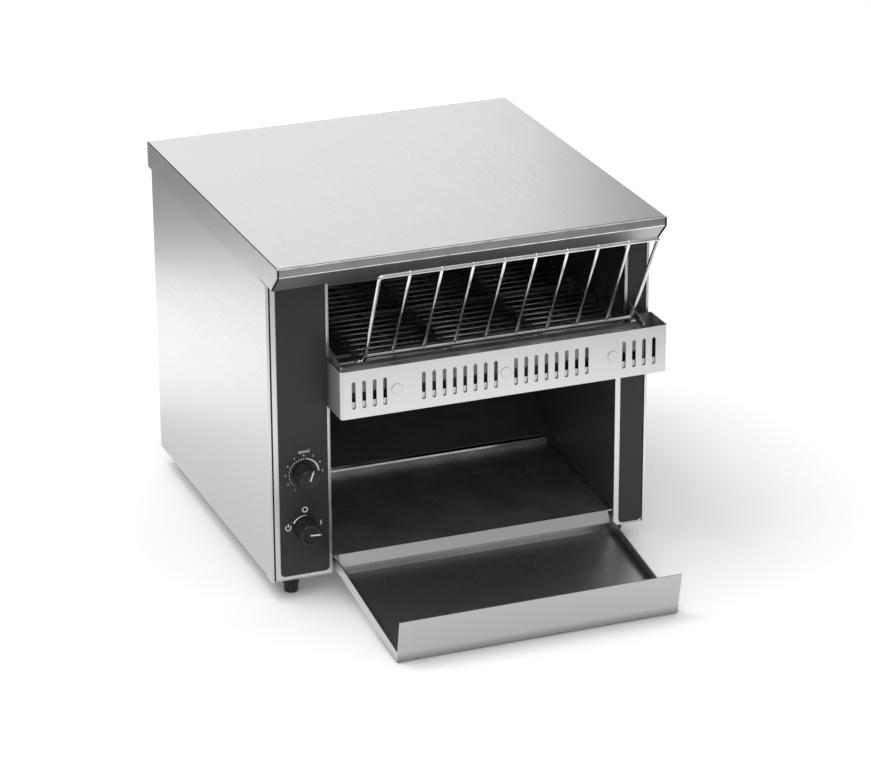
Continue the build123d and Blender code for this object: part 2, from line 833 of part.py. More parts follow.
motor_can_radius = 15.5
motor_can_length = 62.0
motor_can_drop = 5.0
gearbox_half = 24.0
gearbox_notch = 10.0
gearbox_gap = 4.0
output_bore_depth = 1.0
with BuildPart() as gear_motor:
    gearbox_x = (-body_half + sheet + gearbox_gap, bracket_x[0])
    gearbox_z = (motor_z - gearbox_half, motor_z + gearbox_half - gearbox_notch)
    block(gearbox_x, (motor_y - gearbox_half, motor_y + gearbox_half), gearbox_z)
    can_x = (gearbox_x[0] + gearbox_x[1]) / 2
    can_y = (motor_y - gearbox_half - motor_can_length, motor_y - gearbox_half)
    bar_y(can_x, can_y, motor_z - motor_can_drop, motor_can_radius)
    bore_x = (output_span[0] - output_bore_depth, gearbox_x[1])
    bar_x(bore_x, motor_y, motor_z, output_radius + running_gap, mode=Mode.SUBTRACT)
gear_motor.part.label = "gear_motor"
export_step(gear_motor.part, "parts/gear_motor.step")


# ---------------------------------------------------------------- heating elements

terminal_reach = 9.0
terminal_radius = 2.0
element_overrun = 4.0
ceramic_rim = 2.0
ceramic_flange = 1.5
element_x = (opening_left - plate - terminal_reach, conveyor_right + plate + terminal_reach)


def element_rods(y_places, z):
    """Straight sheathed elements across the conveyor, with a thinner terminal at each end."""
    for y in y_places:
        sheath = (opening_left - plate - element_overrun, conveyor_right + plate + element_overrun)
        bar_x(sheath, y, z, element_radius)
        bar_x(element_x, y, z, terminal_radius)


with BuildPart() as upper_elements:
    element_rods(upper_element_y, upper_element_height)
upper_elements.part.label = "upper_elements"
export_step(upper_elements.part, "parts/upper_elements.step")

with BuildPart() as lower_elements:
    element_rods(lower_element_y, lower_element_height)
lower_elements.part.label = "lower_elements"
export_step(lower_elements.part, "parts/lower_elements.step")

element_places = [(y, upper_element_height) for y in upper_element_y]
element_places += [(y, lower_element_height) for y in lower_element_y]
with BuildPart() as element_ceramics:
    for y, z in element_places:
        for x in (opening_left - plate, conveyor_right):
            bar_x((x, x + plate), y, z, ceramic_radius - running_gap)
            outer_face = x - ceramic_rim if x < 0 else x + plate
            bar_x((outer_face, outer_face + ceramic_rim), y, z, ceramic_radius + ceramic_flange)
            bore_x = (x - ceramic_rim, x + plate + ceramic_rim)
            bar_x(bore_x, y, z, element_radius + running_gap, mode=Mode.SUBTRACT)
element_ceramics.part.label = "element_ceramics"
export_step(element_ceramics.part, "parts/element_ceramics.step")


# ---------------------------------------------------------------- front shield, guard and studs

shield_half = (slots_right - shield_left) / 2
stud_height = shield_bottom + stud_rise
stud_offset = shield_half - stud_inset
stud_places = [shield_centre + offset for offset in (-stud_offset, 0, stud_offset)]
middle_slots = int((stud_offset - stud_margin - first_slot) // slot_pitch) + 1
slot_offsets = [first_slot + index * slot_pitch for index in range(middle_slots)]
slot_offsets += [shield_half - last_slot_inset - index * slot_pitch for index in range(end_slots)]
slot_places = [shield_centre + side * offset for side in (-1, 1) for offset in slot_offsets]

shield_y = (shield_face, body_front)
shield_corner = 3.5
lip_clearance = 3.4
ear_gap = 2.0
lip_top = shaft_height - belt_radius - belt_wire - lip_clearance
with BuildPart() as front_shield:
    shield_z = (shield_bottom, shield_bottom + shield_height)
    block((shield_left, shield_right), shield_y, shield_z)
    corner_edges = front_shield.edges().filter_by(Axis.Z).group_by(Axis.Y)[0]
    fillet(corner_edges, radius=shield_corner)
    inner_x = (shield_left + sheet, shield_right - sheet)
    inner_z = (shield_bottom + sheet, shield_bottom + shield_height)
    block(inner_x, (shield_face + sheet, body_front), inner_z, mode=Mode.SUBTRACT)
    lip_z = (shield_bottom, lip_top)
    block((opening_left + seam, cavity_right - seam), (body_front - sheet, body_front), lip_z)
    ear_x = (conveyor_right + plate + ear_gap, shield_right)
    block(ear_x, (body_front - sheet, body_front), shield_z)
    with BuildSketch(Plane.XZ.offset(-shield_face)):
        with Locations(*[(x, shield_bottom + slot_rise) for x in slot_places]):
            SlotOverall(slot_height, slot_width, rotation=90)
        with Locations(*[(x, stud_height) for x in stud_places]):
            Circle(screw_radius + running_gap)
    extrude(amount=-sheet, mode=Mode.SUBTRACT)
front_shield.part.label = "front_shield"
export_step(front_shield.part, "parts/front_shield.step")

stud_head = 0.4
spacer_radius = 3.7
with BuildPart() as shield_studs:
    for x in stud_places:
        bar_y(x, (shield_face - stud_head, shield_face), stud_height, stud_radius)
        bar_y(x, (shield_face, guard_y), stud_height, screw_radius)
        bar_y(x, (shield_face + sheet, guard_y), stud_height, spacer_radius)
shield_studs.part.label = "shield_studs"
export_step(shield_studs.part, "parts/shield_studs.step")

guard_rise = 21.0
guard_bottom = shield_bottom + guard_rise
guard_bend = shield_bottom + shield_height
guard_lip = (4.5, 2.0)
guard_tab = 7.0
with BuildPart() as shield_guard:
    guard_line = [
        (guard_y + sheet / 2, guard_bottom),
        (guard_y + sheet / 2, guard_bend),
        (guard_y + sheet + guard_lip[0], guard_bend + guard_lip[1]),
    ]
    guard_x = (opening_left + seam, conveyor_right - seam)
    extrude(folded_section(guard_x[0], guard_line), amount=guard_x[1] - guard_x[0])
    for x in stud_places:
        tab_x = (x - guard_tab, x + guard_tab)
        block(tab_x, (guard_y, guard_y + sheet), (guard_bottom - guard_tab, guard_bottom))
shield_guard.part.label = "shield_guard"
export_step(shield_guard.part, "parts/shield_guard.step")


# ---------------------------------------------------------------- bread rack

belt_width = belt_right - belt_left
rack_shift = -0.2
rack_centre = (belt_left + belt_right) / 2 + rack_shift
rack_top_half = (belt_width + rack_top_spread) / 2
rack_pivot_half = (belt_width - rack_pivot_inset) / 2
rack_bar_places = evenly(rack_bar_margin - rack_top_half, rack_top_half - rack_bar_margin, rack_bars)
rack_slope = rack_lean / rack_rise
rack_bend = 4.0
bar_overrun = 3.0
pivot_reach = 6.5
rack_foot = 7.0
foot_bar = 1.8
weld_overlap = 0.3


def rack_point(x, rise):
    """Place in the leaning plane of the rack, at a rise above its pivot."""
    return (x, rack_y - rise * rack_slope, rack_pivot_height + rise)


with BuildPart() as bread_rack:
    left, right = rack_centre - rack_pivot_half, rack_centre + rack_pivot_half
    frame_points = [
        rack_point(left - pivot_reach, 0),
        rack_point(left, 0),
        rack_point(rack_centre - rack_top_half, rack_rise),
        rack_point(rack_centre + rack_top_half, rack_rise),
        rack_point(right, 0),
        rack_point(right + pivot_reach, 0),
    ]
    bent_wire(frame_points, rack_wire, rack_bend)
    foot_y_place, foot_z_place = rack_point(0, rack_foot)[1:]
    bar_x((left - weld_overlap, right + weld_overlap), foot_y_place, foot_z_place, foot_bar)
    bar_rise = rack_rise - rack_foot + bar_overrun
    bar_length = hypot(bar_rise, bar_rise * rack_slope)
    lean_angle = degrees(atan2(rack_lean, rack_rise))
    for offset in rack_bar_places:
        with Locations(Location((rack_centre + offset, foot_y_place, foot_z_place), (lean_angle, 0, 0))):
            Cylinder(rack_bar, bar_length, align=(Align.CENTER, Align.CENTER, Align.MIN))
bread_rack.part.label = "bread_rack"
export_step(bread_rack.part, "parts/bread_rack.step")

bracket_thickness = 1.5
bracket_inset = 0.3
bracket_eye = 4.75
bracket_drop = 1.25
bracket_arm = (-6.0, -1.2)
bracket_foot = (-16.0, -2.0)
bracket_foot_inner = 3.5
bracket_foot_outer = 1.5
with BuildPart() as rack_brackets:
    left_bracket = left - pivot_reach + bracket_inset
    right_bracket = right + pivot_reach - bracket_inset - bracket_thickness
    arm_z = tuple(rack_pivot_height + level for level in bracket_arm)
    foot_z = tuple(rack_pivot_height + level for level in bracket_foot)
    arm_y = (guard_y + sheet, rack_y)
    left_foot = (left_bracket - bracket_foot_outer, left_bracket + bracket_thickness + bracket_foot_inner)
    right_foot = (right_bracket - bracket_foot_inner, right_bracket + bracket_thickness)
    for x, bracket_foot_x in ((left_bracket, left_foot), (right_bracket, right_foot)):
        x_span = (x, x + bracket_thickness)
        block(x_span, arm_y, arm_z)
        bar_x(x_span, rack_y, rack_pivot_height - bracket_drop, bracket_eye)
        block(bracket_foot_x, (arm_y[0], arm_y[0] + sheet), foot_z)
        bar_x(x_span, rack_y, rack_pivot_height, rack_wire + running_gap, mode=Mode.SUBTRACT)
rack_brackets.part.label = "rack_brackets"
export_step(rack_brackets.part, "parts/rack_brackets.step")


# ---------------------------------------------------------------- outlet trays

inner_tray_x = (opening_left + inner_tray_left_gap, cavity_right - inner_tray_right_gap)
collection_x = (opening_left + collection_left_gap, cavity_right - collection_right_gap)
slope = tan(radians(inner_tray_slope))
tray_fold = 0.9
tray_lip_gap = 0.6
tray_setback = 1.0
front_bead = (1.9, 1.4)
rear_flange = (0.4, 6.4)
lip_crest = (3.6, 2.6)
lip_end = (11.2, 7.2)
tray_front_y = body_front - tray_setback
tray_back_y = tray_front_y + inner_tray_length
tray_front_z = inner_tray_front_height - sheet / 2
tray_back_z = tray_front_z + inner_tray_length * slope

with BuildPart() as inner_tray:
    tray_line = [
        (tray_front_y - front_bead[0], tray_front_z + front_bead[1]),
        (tray_front_y, tray_front_z),
        (tray_back_y, tray_back_z),
        (tray_back_y + rear_flange[0], tray_back_z + rear_flange[1]),
    ]
    tray_width = inner_tray_x[1] - inner_tray_x[0]
    extrude(folded_section(inner_tray_x[0], tray_line, radius=tray_fold), amount=tray_width)
    lip_x = (collection_x[0] + sheet + tray_lip_gap, collection_x[1] - sheet - tray_lip_gap)
    lip_line = [
        (tray_front_y, tray_front_z),
        (tray_front_y - lip_crest[0], tray_front_z + lip_crest[1]),
        (tray_front_y - lip_end[0], tray_front_z - lip_end[1]),
    ]
    extrude(folded_section(lip_x[0], lip_line, radius=tray_fold), amount=lip_x[1] - lip_x[0])
inner_tray.part.label = "inner_tray"
export_step(inner_tray.part, "parts/inner_tray.step")

ledge_thickness = 1.5
ledge_overlap = 4.0
ledge_setback = 1.0
ledge_back_gap = 2.0
with BuildPart() as tray_ledges:
    ledge_y = (inner_front + ledge_setback, tray_back_y - ledge_back_gap)
    tray_underside = tray_front_z - sheet / 2 - seam
    ledge_front, ledge_back = [(y, tray_underside + (y - tray_front_y) * slope) for y in ledge_y]
    ledge_outline = [
        ledge_front,
        ledge_back,
        (ledge_back[0], ledge_back[1] - ledge_thickness),
        (ledge_front[0], ledge_front[1] - ledge_thickness),
    ]
    ledge_left = (opening_left, inner_tray_x[0] + ledge_overlap)
    ledge_right = (inner_tray_x[1] - ledge_overlap, cavity_right)
    for ledge_x in (ledge_left, ledge_right):
        extrude(flat_section(ledge_x[0], ledge_outline), amount=ledge_x[1] - ledge_x[0])
tray_ledges.part.label = "tray_ledges"
export_step(tray_ledges.part, "parts/tray_ledges.step")

collection_front = body_front - collection_reach + sheet / 2
collection_flat = 15.0
collection_tail = 20.0
collection_bend = body_front - collection_flat
collection_back = body_front + collection_tail
collection_low = sheet
collection_high = collection_low + (collection_bend - collection_front) * collection_slope
with BuildPart() as collection_tray:
    floor_line = [
        (collection_back, collection_high),
        (collection_bend, collection_high),
        (collection_front, collection_low),
        (collection_front - collection_lean, collection_wall),
    ]
    extrude(folded_section(collection_x[0], floor_line), amount=collection_x[1] - collection_x[0])
    wall_lean = collection_lean * collection_side_wall / collection_wall
    wall_outline = [
        (collection_back, collection_high),
        (collection_bend, collection_high),
        (collection_front, collection_low),
        (collection_front - wall_lean, collection_low + collection_side_wall),
        (collection_bend, collection_high + collection_side_wall),
        (collection_back, collection_high + collection_side_wall),
    ]
    for x in (collection_x[0], collection_x[1] - sheet):
        extrude(flat_section(x, wall_outline), amount=sheet)
collection_tray.part.label = "collection_tray"
export_step(collection_tray.part, "parts/collection_tray.step")

with BuildPart() as tray_pins:
    bar_x((opening_left - plate + seam, collection_x[0]), pin_y, pin_height, pin_radius)
    bar_x((collection_x[1], cavity_right + sheet), pin_y, pin_height, pin_radius)
tray_pins.part.label = "tray_pins"
export_step(tray_pins.part, "parts/tray_pins.step")


# ---------------------------------------------------------------- knobs and controls

knob_gap = 0.8
knob_bore_depth = 11.0
knob_back = overlay_face - knob_gap
knob_front = knob_back - knob_length
spindle_reach = 9.0
spindle_inset = 1.0
spindle_end = body_front + spindle_reach
collar_setback = 0.1
collar_y = (overlay_face + collar_setback, inner_front)

for name, height in (("speed_knob", speed_knob_height), ("mode_knob", mode_knob_height)):
    with BuildPart() as knob:
        bar_y(knob_x, (knob_front, knob_back), height, knob_radius)
        chamfer(knob.edges().filter_by(GeomType.CIRCLE).group_by(Axis.Y)[0], length=knob_bevel)
        with BuildSketch(Plane.XZ.offset(-knob_front)):
            with Locations((knob_x, height)):
                Circle(knob_ring + knob_ring_width / 2)
                Circle(knob_ring - knob_ring_width / 2, mode=Mode.SUBTRACT)
        extrude(amount=-knob_ring_depth, mode=Mode.SUBTRACT)
        bore_y = (knob_back - knob_bore_depth, knob_back)
        bar_y(knob_x, bore_y, height, spindle_radius + running_gap, mode=Mode.SUBTRACT)
    knob.part.label = name
    export_step(knob.part, f"parts/{name}.step")

spindle_y = (knob_back - knob_bore_depth + spindle_inset, spindle_end)
with BuildPart() as speed_spindle:
    bar_y(knob_x, spindle_y, speed_knob_height, spindle_radius)
speed_spindle.part.label = "speed_spindle"
export_step(speed_spindle.part, "parts/speed_spindle.step")

with BuildPart() as mode_spindle:
    bar_y(knob_x, spindle_y, mode_knob_height, spindle_radius)
mode_spindle.part.label = "mode_spindle"
export_step(mode_spindle.part, "parts/mode_spindle.step")

spindle_bore_y = (overlay_face, spindle_end + spindle_inset)
control_radius = 12.0
control_depth = 14.0
control_lugs = (10.0, 3.0, 10.0)
with BuildPart() as speed_control:
    bar_y(knob_x, (inner_front, inner_front + control_depth), speed_knob_height, control_radius)
    bar_y(knob_x, collar_y, speed_knob_height, collar_radius - running_gap)
    lug_width, lug_depth, lug_height = control_lugs
    lug_top = speed_knob_height - lug_height
    lug_x = (knob_x - lug_width / 2, knob_x + lug_width / 2)
    block(lug_x, (inner_front, inner_front + lug_depth), (lug_top - lug_height, lug_top))
    bar_y(knob_x, spindle_bore_y, speed_knob_height, spindle_radius + running_gap, mode=Mode.SUBTRACT)
speed_control.part.label = "speed_control"
export_step(speed_control.part, "parts/speed_control.step")

switch_half = 15.0
switch_back = inner_front + 32.0
tab_reach = 8.0
tab_half = 3.0
tab_thickness = 0.8
with BuildPart() as mode_switch:
    switch_z = (mode_knob_height - switch_half, mode_knob_height + switch_half)
    block((knob_x - switch_half, knob_x + switch_half), (inner_front, switch_back), switch_z)
    bar_y(knob_x, collar_y, mode_knob_height, collar_radius - running_gap)
    bar_y(knob_x, spindle_bore_y, mode_knob_height, spindle_radius + running_gap, mode=Mode.SUBTRACT)
    tab_z = (mode_knob_height - tab_thickness / 2, mode_knob_height + tab_thickness / 2)
    for tab_x in (knob_x - tab_reach, knob_x + tab_reach):
        block((tab_x - tab_half, tab_x + tab_half), (switch_back, switch_back + tab_reach), tab_z)
mode_switch.part.label = "mode_switch"
export_step(mode_switch.part, "parts/mode_switch.step")

# transformer, relay and capacitor on the board: near edge, far edge, foot, head and rise of each
board_parts = [(6, 26, 8, 36, 17.4), (34, 50, 10, 24, 10.4), (52, 66, 34, 54, 8.4)]
board_standoff = 8.0
board_standoff_radius = 2.5
board_corner = 4.0
board_thickness = 1.6
board_width = 70.0
board_height = 60.0
board_front = body_front + 90.0
board_bottom = foot_height + 45.0
board_x = -body_half + sheet + board_standoff
with BuildPart() as control_board:
    board_face = board_x + board_thickness
    board_y = (board_front, board_front + board_width)
    board_z = (board_bottom, board_bottom + board_height)
    block((board_x, board_face), board_y, board_z)
    for near, far, low, high, rise in board_parts:
        part_y = (board_front + near, board_front + far)
        block((board_face, board_face + rise), part_y, (board_bottom + low, board_bottom + high))
    for y in (board_y[0] + board_corner, board_y[1] - board_corner):
        for z in (board_z[0] + board_corner, board_z[1] - board_corner):
            bar_x((-body_half + sheet, board_x), y, z, board_standoff_radius)
control_board.part.label = "control_board"
export_step(control_board.part, "parts/control_board.step")

pan_part_gap = 2.0
relay_width = 30.0
relay_length = 40.0
relay_height = 42.0
relay_cap = 4.0
relay_setback = 45.0
pan_part_x = -body_half + flange_width + pan_part_gap
with BuildPart() as power_relay:
    relay_x = (pan_part_x, pan_part_x + relay_width)
    relay_y = (drive_y - relay_setback, drive_y - relay_setback + relay_length)
    relay_top = pan_top + relay_height
    block(relay_x, relay_y, (pan_top, relay_top))
    cap_x = (relay_x[0] + relay_cap, relay_x[1] - relay_cap)
    block(cap_x, (relay_y[0] + relay_cap, relay_y[1] - relay_cap), (relay_top, relay_top + relay_cap))
power_relay.part.label = "power_relay"
export_step(power_relay.part, "parts/power_relay.step")

terminal_width = 32.0
terminal_depth = 22.0
terminal_height = 14.0
terminal_setback = 50.0
terminal_screw = 3.2
terminal_screw_rise = 3.0
terminal_screw_inset = 5.0
terminal_count = 3
with BuildPart() as terminal_block:
    block_x = (pan_part_x, pan_part_x + terminal_width)
    block_y = (body_back - terminal_setback, body_back - terminal_setback + terminal_depth)
    block_top = pan_top + terminal_height
    block(block_x, block_y, (pan_top, block_top))
    middle_y = (block_y[0] + block_y[1]) / 2
    for x in evenly(block_x[0] + terminal_screw_inset, block_x[1] - terminal_screw_inset, terminal_count):
        bar_z(x, middle_y, (block_top, block_top + terminal_screw_rise), terminal_screw)
terminal_block.part.label = "terminal_block"
export_step(terminal_block.part, "parts/terminal_block.step")

limit_setback = 22.0
limit_drop = 35.0
limit_flange = (1.5, 12.0)
limit_body = (11.0, 8.5)
limit_tab_end = 17.0
limit_tab_inner = 5.0
limit_tab_outer = 6.0
limit_tab_half = 3.0
with BuildPart() as high_limit_thermostat:
    limit_y = upper_element_y[1] + limit_setback
    limit_z = ceiling_height - limit_drop
    outer_face = opening_left - plate
    bar_x((outer_face - limit_flange[0], outer_face), limit_y, limit_z, limit_flange[1])
    bar_x((outer_face - limit_body[0], outer_face - limit_flange[0]), limit_y, limit_z, limit_body[1])
    for side in (-1, 1):
        tab_y = tuple(limit_y + place for place in side_span(side, limit_tab_inner, limit_tab_outer))
        tab_x = (outer_face - limit_tab_end, outer_face - limit_body[0])
        block(tab_x, tab_y, (limit_z - limit_tab_half, limit_z + limit_tab_half))
high_limit_thermostat.part.label = "high_limit_thermostat"
export_step(high_limit_thermostat.part, "parts/high_limit_thermostat.step")


# ---------------------------------------------------------------- cooling fan and power inlet

fan_y = (back_panel_y[0] - fan_depth, back_panel_y[0])
fan_hub = 16.0
fan_pin = 2.0
fan_blades = 7
fan_half = fan_size / 2
fan_corner = 4.0
fan_spoke = 3.0
fan_pin_end = 18.0
fan_pin_bore = 0.5
with BuildPart() as fan_housing:
    block((fan_x - fan_half, fan_x + fan_half), fan_y, (fan_height - fan_half, fan_height + fan_half))
    fillet(fan_housing.edges().filter_by(Axis.Y), radius=fan_corner)
    bar_y(fan_x, fan_y, fan_height, fan_bore, mode=Mode.SUBTRACT)
    spoke_y = (fan_y[0], fan_y[0] + fan_spoke)
    bar_y(fan_x, spoke_y, fan_height, fan_hub)
    for turn in (45, 135):
        with Locations(Location((fan_x, (spoke_y[0] + spoke_y[1]) / 2, fan_height), (0, turn, 0))):
            Box(fan_spoke, fan_spoke, 2 * fan_bore + 1)
    bar_y(fan_x, (fan_y[0], fan_y[0] + fan_pin_end), fan_height, fan_pin)
fan_housing.part.label = "fan_housing"
export_step(fan_housing.part, "parts/fan_housing.step")

rotor_gap = 1.5
rotor_setback = 2.0
blade_root = 1.0
blade_chord = 17.0
blade_thickness = 1.2
blade_pitch = 38.0
rotor_y = (fan_y[0] + fan_spoke + rotor_gap, fan_y[1] - rotor_setback)
blade_inner = fan_hub - blade_root
blade_outer = fan_bore - rotor_gap
with BuildPart() as fan_rotor:
    bar_y(fan_x, rotor_y, fan_height, fan_hub)
    for index in range(fan_blades):
        turn = 360 * index / fan_blades
        middle = (blade_inner + blade_outer) / 2
        hub_place = Location((fan_x, (rotor_y[0] + rotor_y[1]) / 2, fan_height), (0, turn, 0))
        with Locations(hub_place * Location((0, 0, middle), (0, 0, blade_pitch))):
            Box(blade_chord, blade_thickness, blade_outer - blade_inner)
    bore_y = (rotor_y[0], fan_y[0] + fan_pin_end + fan_pin_bore)
    bar_y(fan_x, bore_y, fan_height, fan_pin + running_gap, mode=Mode.SUBTRACT)
fan_rotor.part.label = "fan_rotor"
export_step(fan_rotor.part, "parts/fan_rotor.step")

guard_wire = 1.0
guard_wire_y = body_back + guard_wire
guard_rings = (12.0, 21.0, 30.0, 38.5)
guard_bar_rise = 1.2
guard_bar_half = 41.0
with BuildPart() as fan_guard:
    for ring_radius in guard_rings:
        with Locations(Location((fan_x, guard_wire_y, fan_height), (90, 0, 0))):
            Torus(ring_radius, guard_wire)
    for turn in (0, 90):
        with Locations(Location((fan_x, guard_wire_y + guard_bar_rise, fan_height), (0, turn, 0))):
            Cylinder(guard_wire, 2 * guard_bar_half)
fan_guard.part.label = "fan_guard"
export_step(fan_guard.part, "parts/fan_guard.step")

gland_tail = 9.0
gland_end = 6.0
gland_collar = 4.0
gland_nut = 5.0
gland_rim = 3.0
gland_bore = 4.5
with BuildPart() as inlet_gland:
    gland_y = (back_panel_y[0] - gland_tail, body_back + gland_end)
    bar_y(gland_x, gland_y, gland_height, gland_radius - running_gap)
    bar_y(gland_x, (body_back, body_back + gland_collar), gland_height, gland_radius + gland_rim)
    with BuildSketch(Plane.XZ.offset(-back_panel_y[0])):
        with Locations((gland_x, gland_height)):
            RegularPolygon(gland_radius + gland_rim, 6, major_radius=False)
    extrude(amount=gland_nut)
    bar_y(gland_x, gland_y, gland_height, gland_bore, mode=Mode.SUBTRACT)
inlet_gland.part.label = "inlet_gland"
export_step(inlet_gland.part, "parts/inlet_gland.step")
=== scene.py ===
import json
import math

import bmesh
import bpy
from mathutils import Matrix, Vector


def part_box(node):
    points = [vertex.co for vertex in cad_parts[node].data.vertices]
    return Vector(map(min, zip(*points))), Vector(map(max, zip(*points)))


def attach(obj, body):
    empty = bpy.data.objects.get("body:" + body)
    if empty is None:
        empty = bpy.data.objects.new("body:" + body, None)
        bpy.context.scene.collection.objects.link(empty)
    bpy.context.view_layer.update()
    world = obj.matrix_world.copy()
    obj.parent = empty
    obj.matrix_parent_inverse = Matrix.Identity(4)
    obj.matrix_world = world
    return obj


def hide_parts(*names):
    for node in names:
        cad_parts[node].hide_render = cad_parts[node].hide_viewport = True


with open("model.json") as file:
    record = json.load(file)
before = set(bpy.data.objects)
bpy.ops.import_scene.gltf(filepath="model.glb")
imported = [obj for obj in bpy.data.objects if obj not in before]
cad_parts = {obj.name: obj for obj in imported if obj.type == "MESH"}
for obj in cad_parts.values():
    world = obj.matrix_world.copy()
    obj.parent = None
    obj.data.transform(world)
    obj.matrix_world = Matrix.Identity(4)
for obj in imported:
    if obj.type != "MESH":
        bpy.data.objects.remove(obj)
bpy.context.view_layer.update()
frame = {"nodes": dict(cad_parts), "record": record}

# %% [markdown]
# # A countertop conveyor toaster, finished in Blender
#
# The engineering model is already in the scene: sixty named parts at their real size, each with
# its place in its mesh, each riding on a body that a joint can move. This lesson gives those
# parts the surfaces, soft edges, wire work and markings of the real machine. All lengths are in
# metres.

MM = 0.001
nodes = frame["nodes"]
slot_of = {part["node"]: part["material_slot"] for part in frame["record"]["subparts"]}
groups = frame["record"]["behaviour"]["bodies"].items()
body_of = {node: body for body, group in groups for node in group}

# %% [markdown]
# ## Camera
#
# A long lens from far away keeps the machine's parallel edges almost parallel, as in a catalogue.
# A camera can be aimed with a Track To constraint, but a matrix written from three angles says
# exactly the same and leaves nothing to evaluate: the camera looks along the back of a direction
# given by azimuth and elevation.

# %% Camera
camera_place = Vector((-1.110586, -2.966790, 1.408567))
camera_azimuth = math.radians(-21.214)
camera_elevation = math.radians(22.144)
camera_roll = math.radians(-0.28)

camera_data = bpy.data.cameras.new("camera")
camera_data.sensor_width = 36.0
camera_data.lens = 148.94
camera = bpy.data.objects.new("camera", camera_data)
bpy.context.scene.collection.objects.link(camera)

look_back = Vector((
    math.sin(camera_azimuth) * math.cos(camera_elevation),
    -math.cos(camera_azimuth) * math.cos(camera_elevation),
    math.sin(camera_elevation),
))
right = (-look_back).cross(Vector((0, 0, 1))).normalized()
up = right.cross(-look_back)
rolled_right = right * math.cos(camera_roll) + up * math.sin(camera_roll)
rolled_up = up * math.cos(camera_roll) - right * math.sin(camera_roll)
turn = Matrix((rolled_right, rolled_up, look_back)).transposed().to_4x4()
camera.matrix_world = Matrix.Translation(camera_place) @ turn
bpy.context.scene.camera = camera
print("camera looks along", [round(v, 3) for v in -look_back])

# %% [markdown]
# ## Light and floor
#
# Bare steel shows its surroundings more than its own colour, so the room matters as much as the
# lamps. A plain sky would do, but then every face would be the same grey. Here the sky is darker
# towards the horizon and to the right, as in a room with a white ceiling and dark walls. A large
# lamp high on the left throws the soft shadow, and a wide panel behind the machine is what its
# top shows.

# %% Sky
world = bpy.data.worlds.new("studio")
world.use_nodes = True
bpy.context.scene.world = world
sky = world.node_tree
sky.nodes.clear()


def add(tree, kind, inputs=None, **properties):
    """New node in a shader or geometry tree. Each input, by name or number, is linked or set to a value."""
    node = tree.nodes.new(kind)
    for name, value in properties.items():
        setattr(node, name, value)
    for key, value in (inputs or {}).items():
        if isinstance(value, bpy.types.NodeSocket):
            tree.links.new(value, node.inputs[key])
        else:
            node.inputs[key].default_value = value
    return node


def remap(tree, value, from_span, to_span):
    """Number carried from one span onto another, held at the ends."""
    limits = {"Value": value, "From Min": from_span[0], "From Max": from_span[1]}
    limits.update({"To Min": to_span[0], "To Max": to_span[1]})
    return add(tree, "ShaderNodeMapRange", limits).outputs["Result"]


def combine(tree, operation, first, second):
    """Sum, product or other two-number operation."""
    return add(tree, "ShaderNodeMath", {0: first, 1: second}, operation=operation).outputs["Value"]


direction = add(sky, "ShaderNodeTexCoord").outputs["Generated"]
heading = add(sky, "ShaderNodeSeparateXYZ", {0: direction}).outputs
by_height = remap(sky, heading["Z"], (0.05, 0.70), (0.22, 0.90))
by_side = remap(sky, heading["X"], (-0.2, 0.65), (1.05, 0.75))
daylight = combine(sky, "MULTIPLY", by_height, by_side)
seen = add(sky, "ShaderNodeLightPath").outputs["Is Camera Ray"]
strength = add(sky, "ShaderNodeMix", {"Factor": seen, "A": daylight, "B": 1.0}).outputs["Result"]
background = add(sky, "ShaderNodeBackground", {"Strength": strength}).outputs["Background"]
add(sky, "ShaderNodeOutputWorld", {"Surface": background})
bpy.context.scene.view_settings.view_transform = "Standard"


# %% Lamps
def softbox(name, place, target, size, power):
    """Large rectangular lamp at a place, facing a target."""
    lamp = bpy.data.lights.new(name, "AREA")
    lamp.shape = "RECTANGLE"
    lamp.size, lamp.size_y = size
    lamp.energy = power
    holder = bpy.data.objects.new(name, lamp)
    holder.location = place
    holder.rotation_euler = (Vector(target) - Vector(place)).to_track_quat("-Z", "Y").to_euler()
    holder.visible_camera = False
    bpy.context.scene.collection.objects.link(holder)


softbox("left_softbox", (-1.2, 0.1, 2.6), (0.0, 0.0, 0.15), (1.6, 1.6), 34.0)
softbox("front_softbox", (-0.4, -2.2, 2.9), (0.0, 0.0, 0.1), (1.8, 1.8), 13.0)
softbox("rear_panel", (0.02, 1.7, 0.95), (0.02, 0.0, 0.35), (1.85, 0.9), 4.3)

# %% [markdown]
# The floor is a sheet of white paper. Its own lamp light gives the wide shadow, a little glow
# that only the camera sees keeps the rest white, and ambient occlusion takes that glow away in
# the corners, where a real floor is dark. An oval beside the machine's left wall dims it a little
# more, away from the lamp. The steel mirrors the floor too: it sees a pool of light around the
# machine that fades outwards, which draws the long soft gradients that tell polished sheet from
# painted sheet.

# %% Floor
floor_mesh = bpy.data.meshes.new("floor")
reach = 12.0
corners = [(-reach, -reach, 0), (reach, -reach, 0), (reach, reach, 0), (-reach, reach, 0)]
floor_mesh.from_pydata(corners, [], [(0, 1, 2, 3)])
floor = bpy.data.objects.new("floor", floor_mesh)
bpy.context.scene.collection.objects.link(floor)

